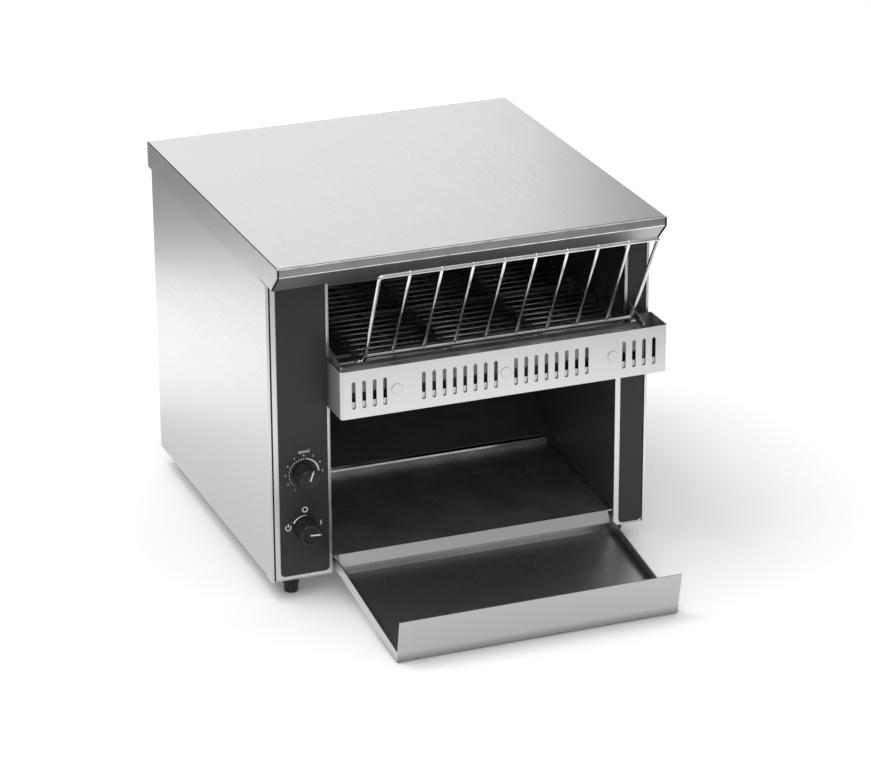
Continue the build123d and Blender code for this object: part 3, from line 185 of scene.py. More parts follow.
paper = bpy.data.materials.new("white_paper")
paper.use_nodes = True
paper_tree = paper.node_tree
paper_shader = paper_tree.nodes["Principled BSDF"]
paper_shader.inputs["Base Color"].default_value = (0.8, 0.8, 0.8, 1)
paper_shader.inputs["Roughness"].default_value = 0.9
paper_shader.inputs["Specular IOR Level"].default_value = 0.0
paper_shader.inputs["Emission Color"].default_value = (1, 1, 1, 1)
rays = add(paper_tree, "ShaderNodeLightPath").outputs
glow_level = 0.33
corner_reach = 0.34
openness = add(paper_tree, "ShaderNodeAmbientOcclusion", {"Distance": corner_reach}).outputs["AO"]
floor_place = add(paper_tree, "ShaderNodeTexCoord").outputs["Object"]
oval = {"Vector": floor_place, "Scale": (1.0, 0.5, 1.0)}
oval = add(paper_tree, "ShaderNodeMapping", oval).outputs["Vector"]
oval_centre = {0: oval, 1: (-0.215, -0.02, 0.0)}
oval_edge, oval_shade = (0.03, 0.19), (0.52, 1.0)
from_oval = add(paper_tree, "ShaderNodeVectorMath", oval_centre, operation="DISTANCE").outputs["Value"]
side_shade = remap(paper_tree, from_oval, oval_edge, oval_shade)
glow = combine(paper_tree, "MULTIPLY", rays["Is Camera Ray"], openness)
glow = combine(paper_tree, "MULTIPLY", glow, side_shade)
glow = combine(paper_tree, "MULTIPLY", glow, glow_level)
paper_tree.links.new(glow, paper_shader.inputs["Emission Strength"])

pool_reach = 1.4
pool_peak = 1.45
pool_rings = [(0.0, 0.40), (0.30, 0.60), (0.50, 0.96), (0.71, 1.0), (0.86, 0.47), (1.05, 0.25)]
distance = add(paper_tree, "ShaderNodeVectorMath", {0: floor_place}, operation="LENGTH").outputs["Value"]
pool = add(paper_tree, "ShaderNodeValToRGB", {"Fac": combine(paper_tree, "DIVIDE", distance, pool_reach)})
pool.color_ramp.interpolation = "EASE"
while len(pool.color_ramp.elements) < len(pool_rings):
    pool.color_ramp.elements.new(0.5)
for element, (ring, level) in zip(pool.color_ramp.elements, pool_rings):
    element.position = ring / pool_reach
    element.color = (level, level, level, 1)
mirrored = add(paper_tree, "ShaderNodeEmission", {"Color": pool.outputs["Color"], "Strength": pool_peak})
both = {"Fac": rays["Is Glossy Ray"], 1: paper_shader.outputs["BSDF"], 2: mirrored.outputs["Emission"]}
floor_surface = add(paper_tree, "ShaderNodeMixShader", both).outputs["Shader"]
paper_tree.links.new(floor_surface, paper_tree.nodes["Material Output"].inputs["Surface"])
floor_mesh.materials.append(paper)


# %% [markdown]
# ## Surfaces
#
# Every finish is built from nodes on Object coordinates. The parts' meshes lie in the machine's
# own frame, so one metre in the texture is one metre on the machine and the grain runs straight
# through neighbouring parts. Brushed steel could be a picture of steel wrapped on, but a noise
# texture drawn out along one axis gives the same fine lines at any distance, and feeds colour,
# roughness and bump at once.

# %% Shader helpers
def new_material(name):
    """Material with a principled shader; returns it with its node tree and shader."""
    material = bpy.data.materials.new(name)
    material.use_nodes = True
    tree = material.node_tree
    return material, tree, tree.nodes["Principled BSDF"]


def noise(tree, scale, stretch=(1, 1, 1), detail=3.0):
    """Noise on Object coordinates, drawn out along an axis by a small number in stretch."""
    place = add(tree, "ShaderNodeTexCoord").outputs["Object"]
    mapped = add(tree, "ShaderNodeMapping", {"Vector": place, "Scale": stretch}).outputs["Vector"]
    pattern = {"Vector": mapped, "Scale": scale, "Detail": detail}
    return add(tree, "ShaderNodeTexNoise", pattern).outputs["Fac"]


def feed(tree, shader, **sockets):
    """Link sockets or set values on the shader's inputs, whose names have spaces for underscores."""
    for name, value in sockets.items():
        socket = shader.inputs[name.replace("_", " ")]
        if isinstance(value, bpy.types.NodeSocket):
            tree.links.new(value, socket)
        else:
            socket.default_value = value


def tint(tree, value, dark, light):
    """Colour ramp between two colours over the middle of a noise value."""
    ramp = add(tree, "ShaderNodeValToRGB", {"Fac": value})
    for element, place, colour in zip(ramp.color_ramp.elements, (0.3, 0.7), (dark, light)):
        element.position = place
        element.color = (*colour, 1)
    return ramp.outputs["Color"]


def relief(tree, height, strength, distance):
    """Bumped normal from a height value."""
    raised = {"Height": height, "Strength": strength, "Distance": distance}
    return add(tree, "ShaderNodeBump", raised).outputs["Normal"]


def grey(level, warm=0.0):
    """Grey colour, a little warmer or cooler."""
    return (level * (1 + warm), level, level * (1 - warm))


# %% Metals
ALONG = {"X": (0.006, 1, 1), "Y": (1, 0.006, 1), "Z": (1, 1, 0.006)}


def painted_crevice_shade(tree, colour):
    """Colour darkened where faces meet closely: painted shade, from ambient occlusion over a short
    distance.
    """
    openness = add(tree, "ShaderNodeAmbientOcclusion", {"Distance": 11 * MM}, samples=4).outputs["AO"]
    shade = remap(tree, openness, (0.45, 0.97), (0.30, 1.0))
    mix = add(tree, "ShaderNodeVectorMath", {0: colour, "Scale": shade}, operation="SCALE")
    return mix.outputs["Vector"]


def brushed(name, grain, level, roughness, contrast=0.018):
    """Brushed sheet metal with its grain along one axis, and painted shade where faces meet closely."""
    material, tree, shader = new_material(name)
    lines = noise(tree, 2600.0, ALONG[grain])
    cloud = remap(tree, noise(tree, 9.0, detail=2.0), (0.3, 0.7), (-0.08, 0.08))
    mixed = combine(tree, "ADD", lines, cloud)
    colour = tint(tree, mixed, grey(level * (1 - contrast)), grey(level * (1 + contrast)))
    gloss = remap(tree, lines, (0.3, 0.7), (roughness - 0.04, roughness + 0.05))
    grain_relief = relief(tree, lines, 0.04, 0.03 * MM)
    feed(tree, shader, Metallic=1.0, Base_Color=painted_crevice_shade(tree, colour), Roughness=gloss, Normal=grain_relief)
    return material


def dull_metal(name, level, roughness, warm=0.0):
    """Plain plated, cast or oxidised metal with a soft mottle."""
    material, tree, shader = new_material(name)
    mottled = noise(tree, 60.0, detail=5.0)
    colour = tint(tree, mottled, grey(level * 0.8, warm), grey(level * 1.15, warm))
    gloss = remap(tree, mottled, (0.3, 0.7), (max(roughness - 0.06, 0.04), roughness + 0.1))
    bumps = relief(tree, noise(tree, 900.0), 0.1, 0.1 * MM)
    feed(tree, shader, Metallic=1.0, Base_Color=colour, Roughness=gloss, Normal=bumps)
    return material


def grained(name, level, roughness):
    """Tray metal dulled by crumbs and washing: a fine speckle under a broad cloud."""
    material, tree, shader = new_material(name)
    speckle = noise(tree, 1100.0, detail=2.0)
    cloud = remap(tree, noise(tree, 25.0, detail=4.0), (0.3, 0.7), (-0.15, 0.15))
    colour = tint(tree, combine(tree, "ADD", speckle, cloud), grey(level * 0.75), grey(level * 1.25))
    gloss = remap(tree, speckle, (0.3, 0.7), (roughness - 0.08, roughness + 0.08))
    bumps = relief(tree, speckle, 0.25, 0.2 * MM)
    feed(tree, shader, Metallic=1.0, Base_Color=colour, Roughness=gloss, Normal=bumps)
    return material


# %% Coatings, plastics and the rest
def coated(name, colour, roughness, grain=1500.0, bump=0.2, vary=0.15):
    """Coating, film, plastic, rubber, ceramic or felt: a colour with fine texture and slight unevenness."""
    material, tree, shader = new_material(name)
    patches = noise(tree, 40.0, detail=4.0)
    uneven = tint(tree, patches, [c * (1 - vary) for c in colour], [c * (1 + vary) for c in colour])
    gloss = remap(tree, patches, (0.3, 0.7), (roughness - 0.05, roughness + 0.05))
    texture = relief(tree, noise(tree, grain, detail=4.0), bump, 0.1 * MM)
    feed(tree, shader, Base_Color=uneven, Roughness=gloss, Specular_IOR_Level=0.4, Normal=texture)
    return material


# %% Finishes
finish = {
    "brushed_stainless": brushed("brushed_stainless", "Y", 0.66, 0.30),
    "zinc_steel": dull_metal("zinc_steel", 0.50, 0.38),
    "black_overlay": coated("black_overlay", grey(0.027), 0.42, bump=0.1),
    "dark_enamel": coated("dark_enamel", grey(0.075), 0.45),
    "dark_tray": grained("dark_tray", 0.58, 0.46),
    "chrome_wire": dull_metal("chrome_wire", 0.72, 0.09),
    "belt_wire": dull_metal("belt_wire", 0.55, 0.30, warm=0.02),
    "hardened_steel": dull_metal("hardened_steel", 0.30, 0.35),
    "bronze": dull_metal("bronze", 0.36, 0.35, warm=0.4),
    "element_sheath": dull_metal("element_sheath", 0.16, 0.45, warm=0.05),
    "ceramic": coated("ceramic", (0.78, 0.75, 0.68), 0.6, bump=0.3),
    "insulation": coated("insulation", (0.72, 0.69, 0.6), 0.95, grain=600.0, bump=0.9),
    "knob_plastic": coated("knob_plastic", grey(0.018), 0.36, bump=0.12),
    "switch_plastic": coated("switch_plastic", grey(0.03), 0.45),
    "circuit_board": coated("circuit_board", (0.03, 0.16, 0.07), 0.4, grain=300.0),
    "motor_casting": dull_metal("motor_casting", 0.45, 0.5),
    "thermostat_metal": dull_metal("thermostat_metal", 0.55, 0.3),
    "foot_rubber": coated("foot_rubber", grey(0.02), 0.75, bump=0.4),
}
print("finishes:", len(finish))

# %% Finishes for single faces and small pieces; many are painted shade and painted highlight
fold_painted_shade = dull_metal("fold_painted_shade", 0.04, 0.45)
satin_steel = brushed("satin_steel", "Z", 0.66, 0.55)
tray_steel = brushed("tray_steel", "X", 0.47, 0.34)
catch_floor = grained("catch_floor", 0.74, 0.40)
painted_gap_shade = coated("painted_gap_shade", grey(0.008), 0.7)
fold_painted_highlight = dull_metal("fold_painted_highlight", 0.86, 0.22)
flange_painted_shade = brushed("flange_painted_shade", "Y", 0.60, 0.30)
polished_edge_highlight = dull_metal("polished_edge_highlight", 0.86, 0.10)
lip_painted_shade = brushed("lip_painted_shade", "X", 0.42, 0.30)
return_painted_shade = brushed("return_painted_shade", "X", 0.55, 0.40)
guard_painted_light = dull_metal("guard_painted_light", 0.85, 0.55)
guard_painted_shade = dull_metal("guard_painted_shade", 0.18, 0.45)

# %% Give each part its finish
for name, part in nodes.items():
    part.data.materials.clear()
    part.data.materials.append(finish[slot_of[name]])
print("parts finished:", len(nodes))


# %% [markdown]
# ## Folded sheet metal
#
# A sheet edge is never a perfect corner: shears and press brakes leave it slightly round, and
# that tiny round is what catches the light as a bright line. The edges could be rounded in the
# CAD, but there they would only slow everything down. Here a copy of each part is merged and
# cleaned, a Bevel modifier rounds its sharp edges, and Weighted Normal keeps the large faces flat
# in shade. A short test of a face's place and normal gives some faces a finish of their own. On
# the hood and the shield's guard these finishes are painted shade and painted highlight: darker
# and lighter copies of the metal, set where the light falls differently.

# %% Helpers for pieces
def link(name, mesh):
    """New object for a mesh, at the origin."""
    piece = bpy.data.objects.new(name, mesh)
    bpy.context.scene.collection.objects.link(piece)
    return piece


def plain_mesh(name, work, *materials):
    """Mesh made from a bmesh, which is then let go, with its finishes."""
    mesh = bpy.data.meshes.new(name)
    work.to_mesh(mesh)
    work.free()
    for material in materials:
        mesh.materials.append(material)
    return mesh


def settle(piece):
    """Turn a piece's modifiers or curve into a plain mesh."""
    mesh = bpy.data.meshes.new_from_object(piece.evaluated_get(bpy.context.evaluated_depsgraph_get()))
    mesh.name = piece.name
    if piece.type == "MESH":
        piece.modifiers.clear()
        piece.data = mesh
        return piece
    name = piece.name
    bpy.data.objects.remove(piece)
    return link(name, mesh)


def fit(piece, body, slot, *replaced):
    """Attach a finished piece to its body and hide the parts it stands for; its slot is not used."""
    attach(piece, body)
    if replaced:
        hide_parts(*replaced)


def softened(name, width, *others):
    """Copy of a part with its sharp edges rounded. Each of others is a finish and a test of a face's
    place, in millimetres, and normal: faces that pass the test get that finish."""
    work = bmesh.new()
    work.from_mesh(nodes[name].data)
    bmesh.ops.remove_doubles(work, verts=work.verts, dist=0.003 * MM)
    bmesh.ops.dissolve_limit(work, angle_limit=math.radians(1), verts=work.verts, edges=work.edges)
    for face in work.faces:
        face.smooth = True
        face.material_index = 0
        for number, (_, chosen) in enumerate(others, 1):
            if chosen(face.calc_center_median() / MM, face.normal):
                face.material_index = number
    for edge in work.edges:
        edge.smooth = True
    mesh = plain_mesh(name, work, finish[slot_of[name]], *(other for other, _ in others))
    if mesh.has_custom_normals:
        mesh.attributes.remove(mesh.attributes["custom_normal"])
    piece = link(name + "_sheet", mesh)
    rounding = piece.modifiers.new("rounding", "BEVEL")
    rounding.width = width
    rounding.segments = 2
    rounding.limit_method = "ANGLE"
    rounding.angle_limit = math.radians(40)
    piece.modifiers.new("even_shade", "WEIGHTED_NORMAL").keep_sharp = True
    fit(settle(piece), body_of[name], slot_of[name], name)


# %% Soft-edged parts
sheet_parts = [
    "left_side_panel", "right_side_panel", "back_panel", "base_pan", "left_column", "right_column",
    "header_plate", "left_inner_plate", "right_inner_plate", "right_cavity_wall",
]
sheet_edge, film_edge = 0.3 * MM, 0.2 * MM
for name in sheet_parts:
    softened(name, sheet_edge)
for name in ("left_overlay", "right_overlay"):
    softened(name, film_edge)


hood_front = -200.0


def on_fold(place, normal):
    """The tight bends along the hood's two long top edges, and the start of its front bend: near-black
    metal there is a painted dark line.
    """
    along_side = 0.25 < abs(normal.x) < 0.99 and normal.z > 0.1
    return along_side or (place.y < hood_front and normal.y < -0.04 and normal.z > 0.86)


def on_glint(place, normal):
    """The start of the side bends, the rest of the front bend and the edge below it: bright metal there is
    a painted highlight.
    """
    if place.y < hood_front and -0.99 < normal.y < -0.4:
        return normal.z > 0.2 or -0.6 < normal.z < -0.1
    return 0.02 < abs(normal.x) <= 0.25 and normal.z > 0.9


def on_flange(place, normal):
    """The hood's two side flanges, which get a slightly darker copy of the steel as painted shade."""
    return abs(normal.x) > 0.99


def on_lip(place, normal):
    """The hood's upright front edge, which gets a darker copy of the steel as painted shade."""
    return place.y < -204.5 and place.z > 322.0 and normal.y < -0.7


def on_return(place, normal):
    """The fold below the lip, which slopes back over the bread opening and gets a darker copy of the steel
    as painted shade.
    """
    return normal.y < -0.5 and normal.z < -0.5


def on_guard_face(place, normal):
    """The guard's upright front, seen through the louvres, which gets pale metal as painted light where it
    stands in shadow.
    """
    return normal.y < -0.9


def on_guard_lip(place, normal):
    """The guard's leaning top, which gets dark metal as painted shade."""
    return normal.z > 0.2


shield_middle = 29.3


def on_shield_end(place, normal):
    """The two returns of the shield, which face sideways."""
    return abs(normal.x) > 0.9 and abs(place.x - shield_middle) > 157.0


def on_tray_nose(place, normal):
    """The inner tray's front lip."""
    return place.y < -172.5


def on_tray_rim(place, normal):
    """The top edge of the inner tray's rear flange."""
    return place.y > -24.0 and place.z > 50.0


def on_catch_floor(place, normal):
    """The upper face of the catch tray's floor."""
    return normal.z > 0.7 and place.z < 12.0


def on_catch_wall(place, normal):
    """The catch tray's front wall."""
    return place.y < -318.0


# The hood's lip, folds, return and flanges get painted shade, and the start of its bends painted highlight.
hood_finishes = [(lip_painted_shade, on_lip), (fold_painted_shade, on_fold), (fold_painted_highlight, on_glint)]
hood_finishes += [(return_painted_shade, on_return), (flange_painted_shade, on_flange)]
softened("hood", sheet_edge, *hood_finishes)
# The guard's front gets painted light and its top painted shade.
softened("shield_guard", sheet_edge, (guard_painted_light, on_guard_face), (guard_painted_shade, on_guard_lip))
softened("front_shield", sheet_edge, (satin_steel, on_shield_end))
softened("inner_tray", sheet_edge, (tray_steel, on_tray_nose), (finish["brushed_stainless"], on_tray_rim))
softened("collection_tray", sheet_edge, (tray_steel, on_catch_wall), (catch_floor, on_catch_floor))


# %% [markdown]
# ## Seams and hidden hems
#
# Four small things that the eye misses when they are gone: the open corner seam where the hood's
# side flange meets its front lip, the black gap beside each front column, the safety hem folded
# up inside the shield that shows as a pale end in every slot, and the polished rim of the inner
# tray's rear flange. They could be cut into the parts, but a flat strip or a thin wire laid in
# each place looks the same and is quick to adjust. The black wire in each seam and the black strip
# in each gap are painted shade, dark pieces where the real machine has only shadow, and the rim's
# bright strip is a painted highlight on the polished edge.

# %% Strip and wire helpers
def strips(name, boxes, material, soft=0.1):
    """Softened flat bars between pairs of corners given in millimetres."""
    work = bmesh.new()
    for low, high in boxes:
        low, high = Vector(low) * MM, Vector(high) * MM
        made = bmesh.ops.create_cube(work, size=1.0)["verts"]
        bmesh.ops.scale(work, vec=high - low, verts=made)
        bmesh.ops.translate(work, vec=(low + high) / 2, verts=made)
    bmesh.ops.bevel(work, geom=work.edges[:], offset=soft * MM, segments=1, affect="EDGES")
    return link(name, plain_mesh(name, work, material))


def wire(name, lines, radius, material, closed=False):
    """Round wires through lines of points given in millimetres."""
    curve = bpy.data.curves.new(name, "CURVE")
    curve.dimensions = "3D"
    curve.bevel_depth = radius * MM
    curve.bevel_resolution = 3
    curve.use_fill_caps = True
    for points in lines:
        spline = curve.splines.new("POLY")
        spline.points.add(len(points) - 1)
        for target, point in zip(spline.points, points):
            target.co = (*(Vector(point) * MM), 1)
        spline.use_cyclic_u = closed
    piece = settle(link(name, curve))
    piece.data.materials.clear()
    piece.data.materials.append(material)
    for face in piece.data.polygons:
        face.use_smooth = True
    return piece


# %% Column gaps and shield hem
gap_x, gap_y, gap_z = (180.1, 181.7), (-169.6, -168.4), (20.5, 305.5)
gaps = [
    ((-gap_x[1], gap_y[0], gap_z[0]), (-gap_x[0], gap_y[1], gap_z[1])),
    ((gap_x[0], gap_y[0], gap_z[0]), (gap_x[1], gap_y[1], gap_z[1])),
]
# Black strips in the gaps beside the columns: painted shade where there is only shadow.
fit(strips("column_gaps", gaps, painted_gap_shade), "chassis", "switch_plastic")

shield_floor, slot_middle, slot_length, hem_cover = 183.0, 21.8, 26.1, 6.5
hem_top = shield_floor + slot_middle - slot_length / 2 + hem_cover
hem_box = ((-125.5, -205.1, shield_floor + 1.1), (183.5, -204.2, hem_top))
hem = strips("shield_hem", [hem_box], finish["brushed_stainless"])
fit(hem, "chassis", "brushed_stainless")
print("hem top:", round(hem_top, 2), "mm")

# %% Hood corner seams and tray rim
seam_x = 183.6
seam_line = [(-205.05, 331.2), (-205.05, 323.4), (-188.6, 306.9)]
seams = [[(x, y, z) for y, z in seam_line] for x in (-seam_x, seam_x)]
# A black wire in each corner seam: painted shade where the seam is open.
fit(wire("hood_seams", seams, 0.85, painted_gap_shade), "chassis", "switch_plastic")

rim_half = Vector((135.1, 0.25, 0.95))
rim_lean = math.radians(-25)
# The rim strip is a polished edge whose extra brightness is a painted highlight.
rim = strips("tray_rim", [(-rim_half, rim_half)], polished_edge_highlight)
rim_place = Matrix.Translation(Vector((11.5, -21.3, 50.4)) * MM)
rim.data.transform(rim_place @ Matrix.Rotation(rim_lean, 4, "X"))
fit(rim, body_of["inner_tray"], "brushed_stainless")
print("tray rim leans", round(math.degrees(rim_lean)), "degrees")


# %% [markdown]
# ## Things that repeat
#
# The belt's strands, the rack's bars, the screws and the feet are each one small shape set out by
# a rule. They could be copied in a loop, but a Geometry Nodes tree keeps the rule in one place
# with its sizes as named inputs. Each tree takes the small shape as the modifier's own mesh, sets
# it out, realizes the copies and gives them their finish. The result is then kept as a plain
# mesh.

# %% Helpers for rules
WHOLE, LENGTH, PLACE, FINISH = "NodeSocketInt", "NodeSocketFloat", "NodeSocketVector", "NodeSocketMaterial"


def new_rule(name, **inputs):
    """Geometry tree with named inputs; returns it with its group input's sockets."""
    rule = bpy.data.node_groups.new(name, "GeometryNodeTree")
    rule.is_modifier = True
    rule.interface.new_socket("Shape", in_out="INPUT", socket_type="NodeSocketGeometry")
    for label, kind in inputs.items():
        rule.interface.new_socket(label, in_out="INPUT", socket_type=kind)
    rule.interface.new_socket("Result", in_out="OUTPUT", socket_type="NodeSocketGeometry")
    return rule, add(rule, "NodeGroupInput").outputs


def close_rule(rule, instances, material):
    """End a tree: realized, smooth and with its finish."""
    real = add(rule, "GeometryNodeRealizeInstances", {"Geometry": instances}).outputs["Geometry"]
    smooth = add(rule, "GeometryNodeSetShadeSmooth", {"Geometry": real}).outputs["Geometry"]
    covered = {"Geometry": smooth, "Material": material}
    done = add(rule, "GeometryNodeSetMaterial", covered).outputs["Geometry"]
    add(rule, "NodeGroupOutput", {"Result": done})


def grow(name, rule, mesh, **sizes):
    """Run a tree on a mesh once, with its inputs set by identifier, and keep the plain result."""
    piece = link(name, mesh)
    modifier = piece.modifiers.new("rule", "NODES")
    modifier.node_group = rule
    for item in rule.interface.items_tree:
        if item.in_out == "INPUT" and item.name in sizes:
            modifier[item.identifier] = sizes[item.name]
    return settle(piece)


def outline(name, points):
    """Mesh of loose edges through points given in millimetres."""
    mesh = bpy.data.meshes.new(name)
    mesh.from_pydata([Vector(p) * MM for p in points], [(i, i + 1) for i in range(len(points) - 1)], [])
    return mesh


def turned(name, profile, axis, centre, steps=32):
    """Solid of revolution from (radius, height) pairs in millimetres, with its normals outward."""
    work = bmesh.new()
    line = [work.verts.new((radius * MM, 0, height * MM)) for radius, height in profile]
    edges = [work.edges.new(pair) for pair in zip(line, line[1:])]
    spun = {"geom": line + edges, "axis": (0, 0, 1), "cent": (0, 0, 0)}
    bmesh.ops.spin(work, use_merge=True, angle=2 * math.pi, steps=steps, **spun)
    bmesh.ops.remove_doubles(work, verts=work.verts, dist=0.001 * MM)
    bmesh.ops.recalc_face_normals(work, faces=work.faces)
    for face in work.faces:
        face.smooth = True
    aim = Vector((0, 0, 1)).rotation_difference(Vector(axis)).to_matrix().to_4x4()
    work.transform(Matrix.Translation(Vector(centre) * MM) @ aim)
    return plain_mesh(name, work)


# %% [markdown]
# ## Wire belt
#
# The belt is a flat-flex conveyor: about fifty steel strands, each a straight wire with a few
# hairpins that hook around the next strand. One strand is a line of loose edges. The rule bends a
# rectangle into the belt's racetrack with Fillet Curve, spaces the strands evenly along it, turns
# each one to face the next, staggers every second one and makes the whole mat slightly uneven, as
# a heated belt is.

# %% Belt strand
strand_count = 52
belt_run = 275.2
belt_radius = 12.0
belt_pitch = (2 * belt_run + 2 * math.pi * belt_radius) / strand_count
hairpin_leg = [(0.9, 0.15), (belt_pitch - 3.0, 1.1), (belt_pitch, 1.65), (belt_pitch + 1.5, 0.9)]
hairpin_tip = (belt_pitch + 1.8, -0.3)
hairpin_half = 1.5
tip_half = 1.2
hairpin_places = (-98.4, -16.0, 72.0, 154.4)


def hairpin(centre, open_left=False, open_right=False):
    """Points of one hairpin; an end hairpin's outer leg stops short of the strand."""
    leg = [(0.0, 0.0)] + hairpin_leg
    left_leg = leg[2:] if open_left else leg
    right_leg = leg[2:] if open_right else leg
    points = [(centre - hairpin_half, y, z) for y, z in left_leg]
    points += [(centre - tip_half, *hairpin_tip), (centre + tip_half, *hairpin_tip)]
    return points + [(centre + hairpin_half, y, z) for y, z in reversed(right_leg)]


strand = []
for place in hairpin_places:
    strand += hairpin(place, place == hairpin_places[0], place == hairpin_places[-1])
print("strand points:", len(strand), "pitch:", round(belt_pitch, 3), "mm")

# %% Belt rule
belt_inputs = {"Strands": WHOLE, "Run": LENGTH, "Radius": LENGTH, "Centre": PLACE, "Stagger": LENGTH}
belt_rule, given = new_rule("belt_rule", **belt_inputs, Wire=LENGTH, Unevenness=LENGTH, Finish=FINISH)
across = combine(belt_rule, "MULTIPLY", given["Radius"], 2.0)
along = combine(belt_rule, "ADD", given["Run"], across)
frame_size = {"Width": along, "Height": across}
track = add(belt_rule, "GeometryNodeCurvePrimitiveQuadrilateral", frame_size).outputs["Curve"]
rounded = {"Curve": track, "Radius": combine(belt_rule, "MULTIPLY", given["Radius"], 0.999), "Count": 10}
track = add(belt_rule, "GeometryNodeFilletCurve", rounded, mode="POLY").outputs["Curve"]
track = add(belt_rule, "GeometryNodeReverseCurve", {"Curve": track}).outputs["Curve"]
spaced = {"Curve": track, "Count": given["Strands"]}
track = add(belt_rule, "GeometryNodeResampleCurve", spaced, mode="COUNT").outputs["Curve"]
upright = {"Geometry": track, "Translation": given["Centre"], "Rotation": (math.pi / 2, 0, math.pi / 2)}
track = add(belt_rule, "GeometryNodeTransform", upright).outputs["Geometry"]

index = add(belt_rule, "GeometryNodeInputIndex").outputs["Index"]
here = add(belt_rule, "GeometryNodeInputPosition").outputs["Position"]
next_index = combine(belt_rule, "MODULO", combine(belt_rule, "ADD", index, 1.0), given["Strands"])
look_up = {"Value": here, "Index": next_index}
there = add(belt_rule, "GeometryNodeFieldAtIndex", look_up, data_type="FLOAT_VECTOR", domain="POINT")
there = there.outputs["Value"]
chord = add(belt_rule, "ShaderNodeVectorMath", {0: there, 1: here}, operation="SUBTRACT").outputs["Vector"]
facing = add(belt_rule, "FunctionNodeAlignRotationToVector", {"Vector": chord}, axis="Y", pivot_axis="X")
facing = facing.outputs["Rotation"]
parity = combine(belt_rule, "SUBTRACT", combine(belt_rule, "MODULO", index, 2.0), 0.5)
aside = combine(belt_rule, "MULTIPLY", combine(belt_rule, "MULTIPLY", parity, 2.0), given["Stagger"])
shift = add(belt_rule, "ShaderNodeCombineXYZ", {"X": aside}).outputs["Vector"]
section = {"Resolution": 6, "Radius": given["Wire"]}
ring = add(belt_rule, "GeometryNodeCurvePrimitiveCircle", section).outputs["Curve"]
line = add(belt_rule, "GeometryNodeMeshToCurve", {"Mesh": given["Shape"]}).outputs["Curve"]
tube = {"Curve": line, "Profile Curve": ring, "Fill Caps": True}
tube = add(belt_rule, "GeometryNodeCurveToMesh", tube).outputs["Mesh"]
placed = {"Points": track, "Instance": tube, "Rotation": facing}
mat = add(belt_rule, "GeometryNodeInstanceOnPoints", placed).outputs["Instances"]
moved = {"Instances": mat, "Translation": shift}
mat = add(belt_rule, "GeometryNodeTranslateInstances", moved).outputs["Instances"]
mat = add(belt_rule, "GeometryNodeRealizeInstances", {"Geometry": mat}).outputs["Geometry"]
wave = add(belt_rule, "ShaderNodeTexNoise", {"Scale": 22.0, "Detail": 1.0}).outputs["Color"]
centred = {0: wave, 1: (0.5, 0.5, 0.5)}
wave = add(belt_rule, "ShaderNodeVectorMath", centred, operation="SUBTRACT").outputs["Vector"]
swing = {0: wave, "Scale": given["Unevenness"]}
wave = add(belt_rule, "ShaderNodeVectorMath", swing, operation="SCALE").outputs["Vector"]
mat = add(belt_rule, "GeometryNodeSetPosition", {"Geometry": mat, "Offset": wave}).outputs["Geometry"]
close_rule(belt_rule, mat, given["Finish"])

# %% Belt
belt_middle = (0.0, -0.0424, 0.2122)
belt_stagger, belt_wire, belt_unevenness = 1.8, 0.75, 1.6
belt_sizes = {"Strands": strand_count, "Run": belt_run * MM, "Radius": belt_radius * MM}
belt_sizes.update({"Centre": belt_middle, "Stagger": belt_stagger * MM})
belt_sizes.update({"Wire": belt_wire * MM, "Unevenness": belt_unevenness * MM})
belt = grow("belt_strands", belt_rule, outline("strand", strand), Finish=finish["belt_wire"], **belt_sizes)
fit(belt, body_of["wire_belt"], "belt_wire", "wire_belt")
print("belt triangles:", sum(len(face.vertices) - 2 for face in belt.data.polygons))


# %% [markdown]
# ## Bread rack
#
# The rack is one bent chromed rod with a foot bar and eight welded inner bars. The rod is a poly
# curve whose corners are replaced by short arcs, given a round section by the curve's own bevel.
# The inner bars stand on a rule: one rounded pin, repeated along the foot bar and leaned forward.
# The two small eyes on each side stay with the machine, and the rod's ends turn in them.

# %% Bent line helper
def bent(points, radius, steps=7):
    """Points of a line with every inner corner replaced by an arc."""
    line = [Vector(points[0])]
    for before, corner, after in zip(points, points[1:], points[2:]):
        corner = Vector(corner)
        back = (Vector(before) - corner).normalized()
        ahead = (Vector(after) - corner).normalized()
        half = back.angle(ahead) / 2
        reach_back = min(radius / math.tan(half), 0.45 * (Vector(before) - corner).length)
        start, stop = corner + back * reach_back, corner + ahead * reach_back
        for step in range(steps + 1):
            t = step / steps
            line.append(start.lerp(corner, t).lerp(corner.lerp(stop, t), t))
    return line + [Vector(points[-1])]


# %% Rack rod and foot bar
rack_left, rack_right = -99.4, 156.4
rack_top_left, rack_top_right = -102.5, 161.1
pivot_left, pivot_right = -107.2, 162.8
rack_y, rack_z = -188.0, 228.0
rack_lean, rack_rise = 50.0, 97.0
rod = 1.9
foot_rise = 7.0


def on_rack(x, rise):
    """Point in the rack's leaning plane at a rise above its pivot."""
    return (x, rack_y - rise * rack_lean / rack_rise, rack_z + rise)


rod_line = [
    on_rack(pivot_left, 0), on_rack(rack_left, 0), on_rack(rack_top_left, rack_rise),
    on_rack(rack_top_right, rack_rise), on_rack(rack_right, 0), on_rack(pivot_right, 0),
]
foot_line = [on_rack(rack_left - 0.4, foot_rise), on_rack(rack_right + 0.4, foot_rise)]
rack_frame = wire("rack_frame", [bent(rod_line, 3.2), foot_line], rod, finish["chrome_wire"])

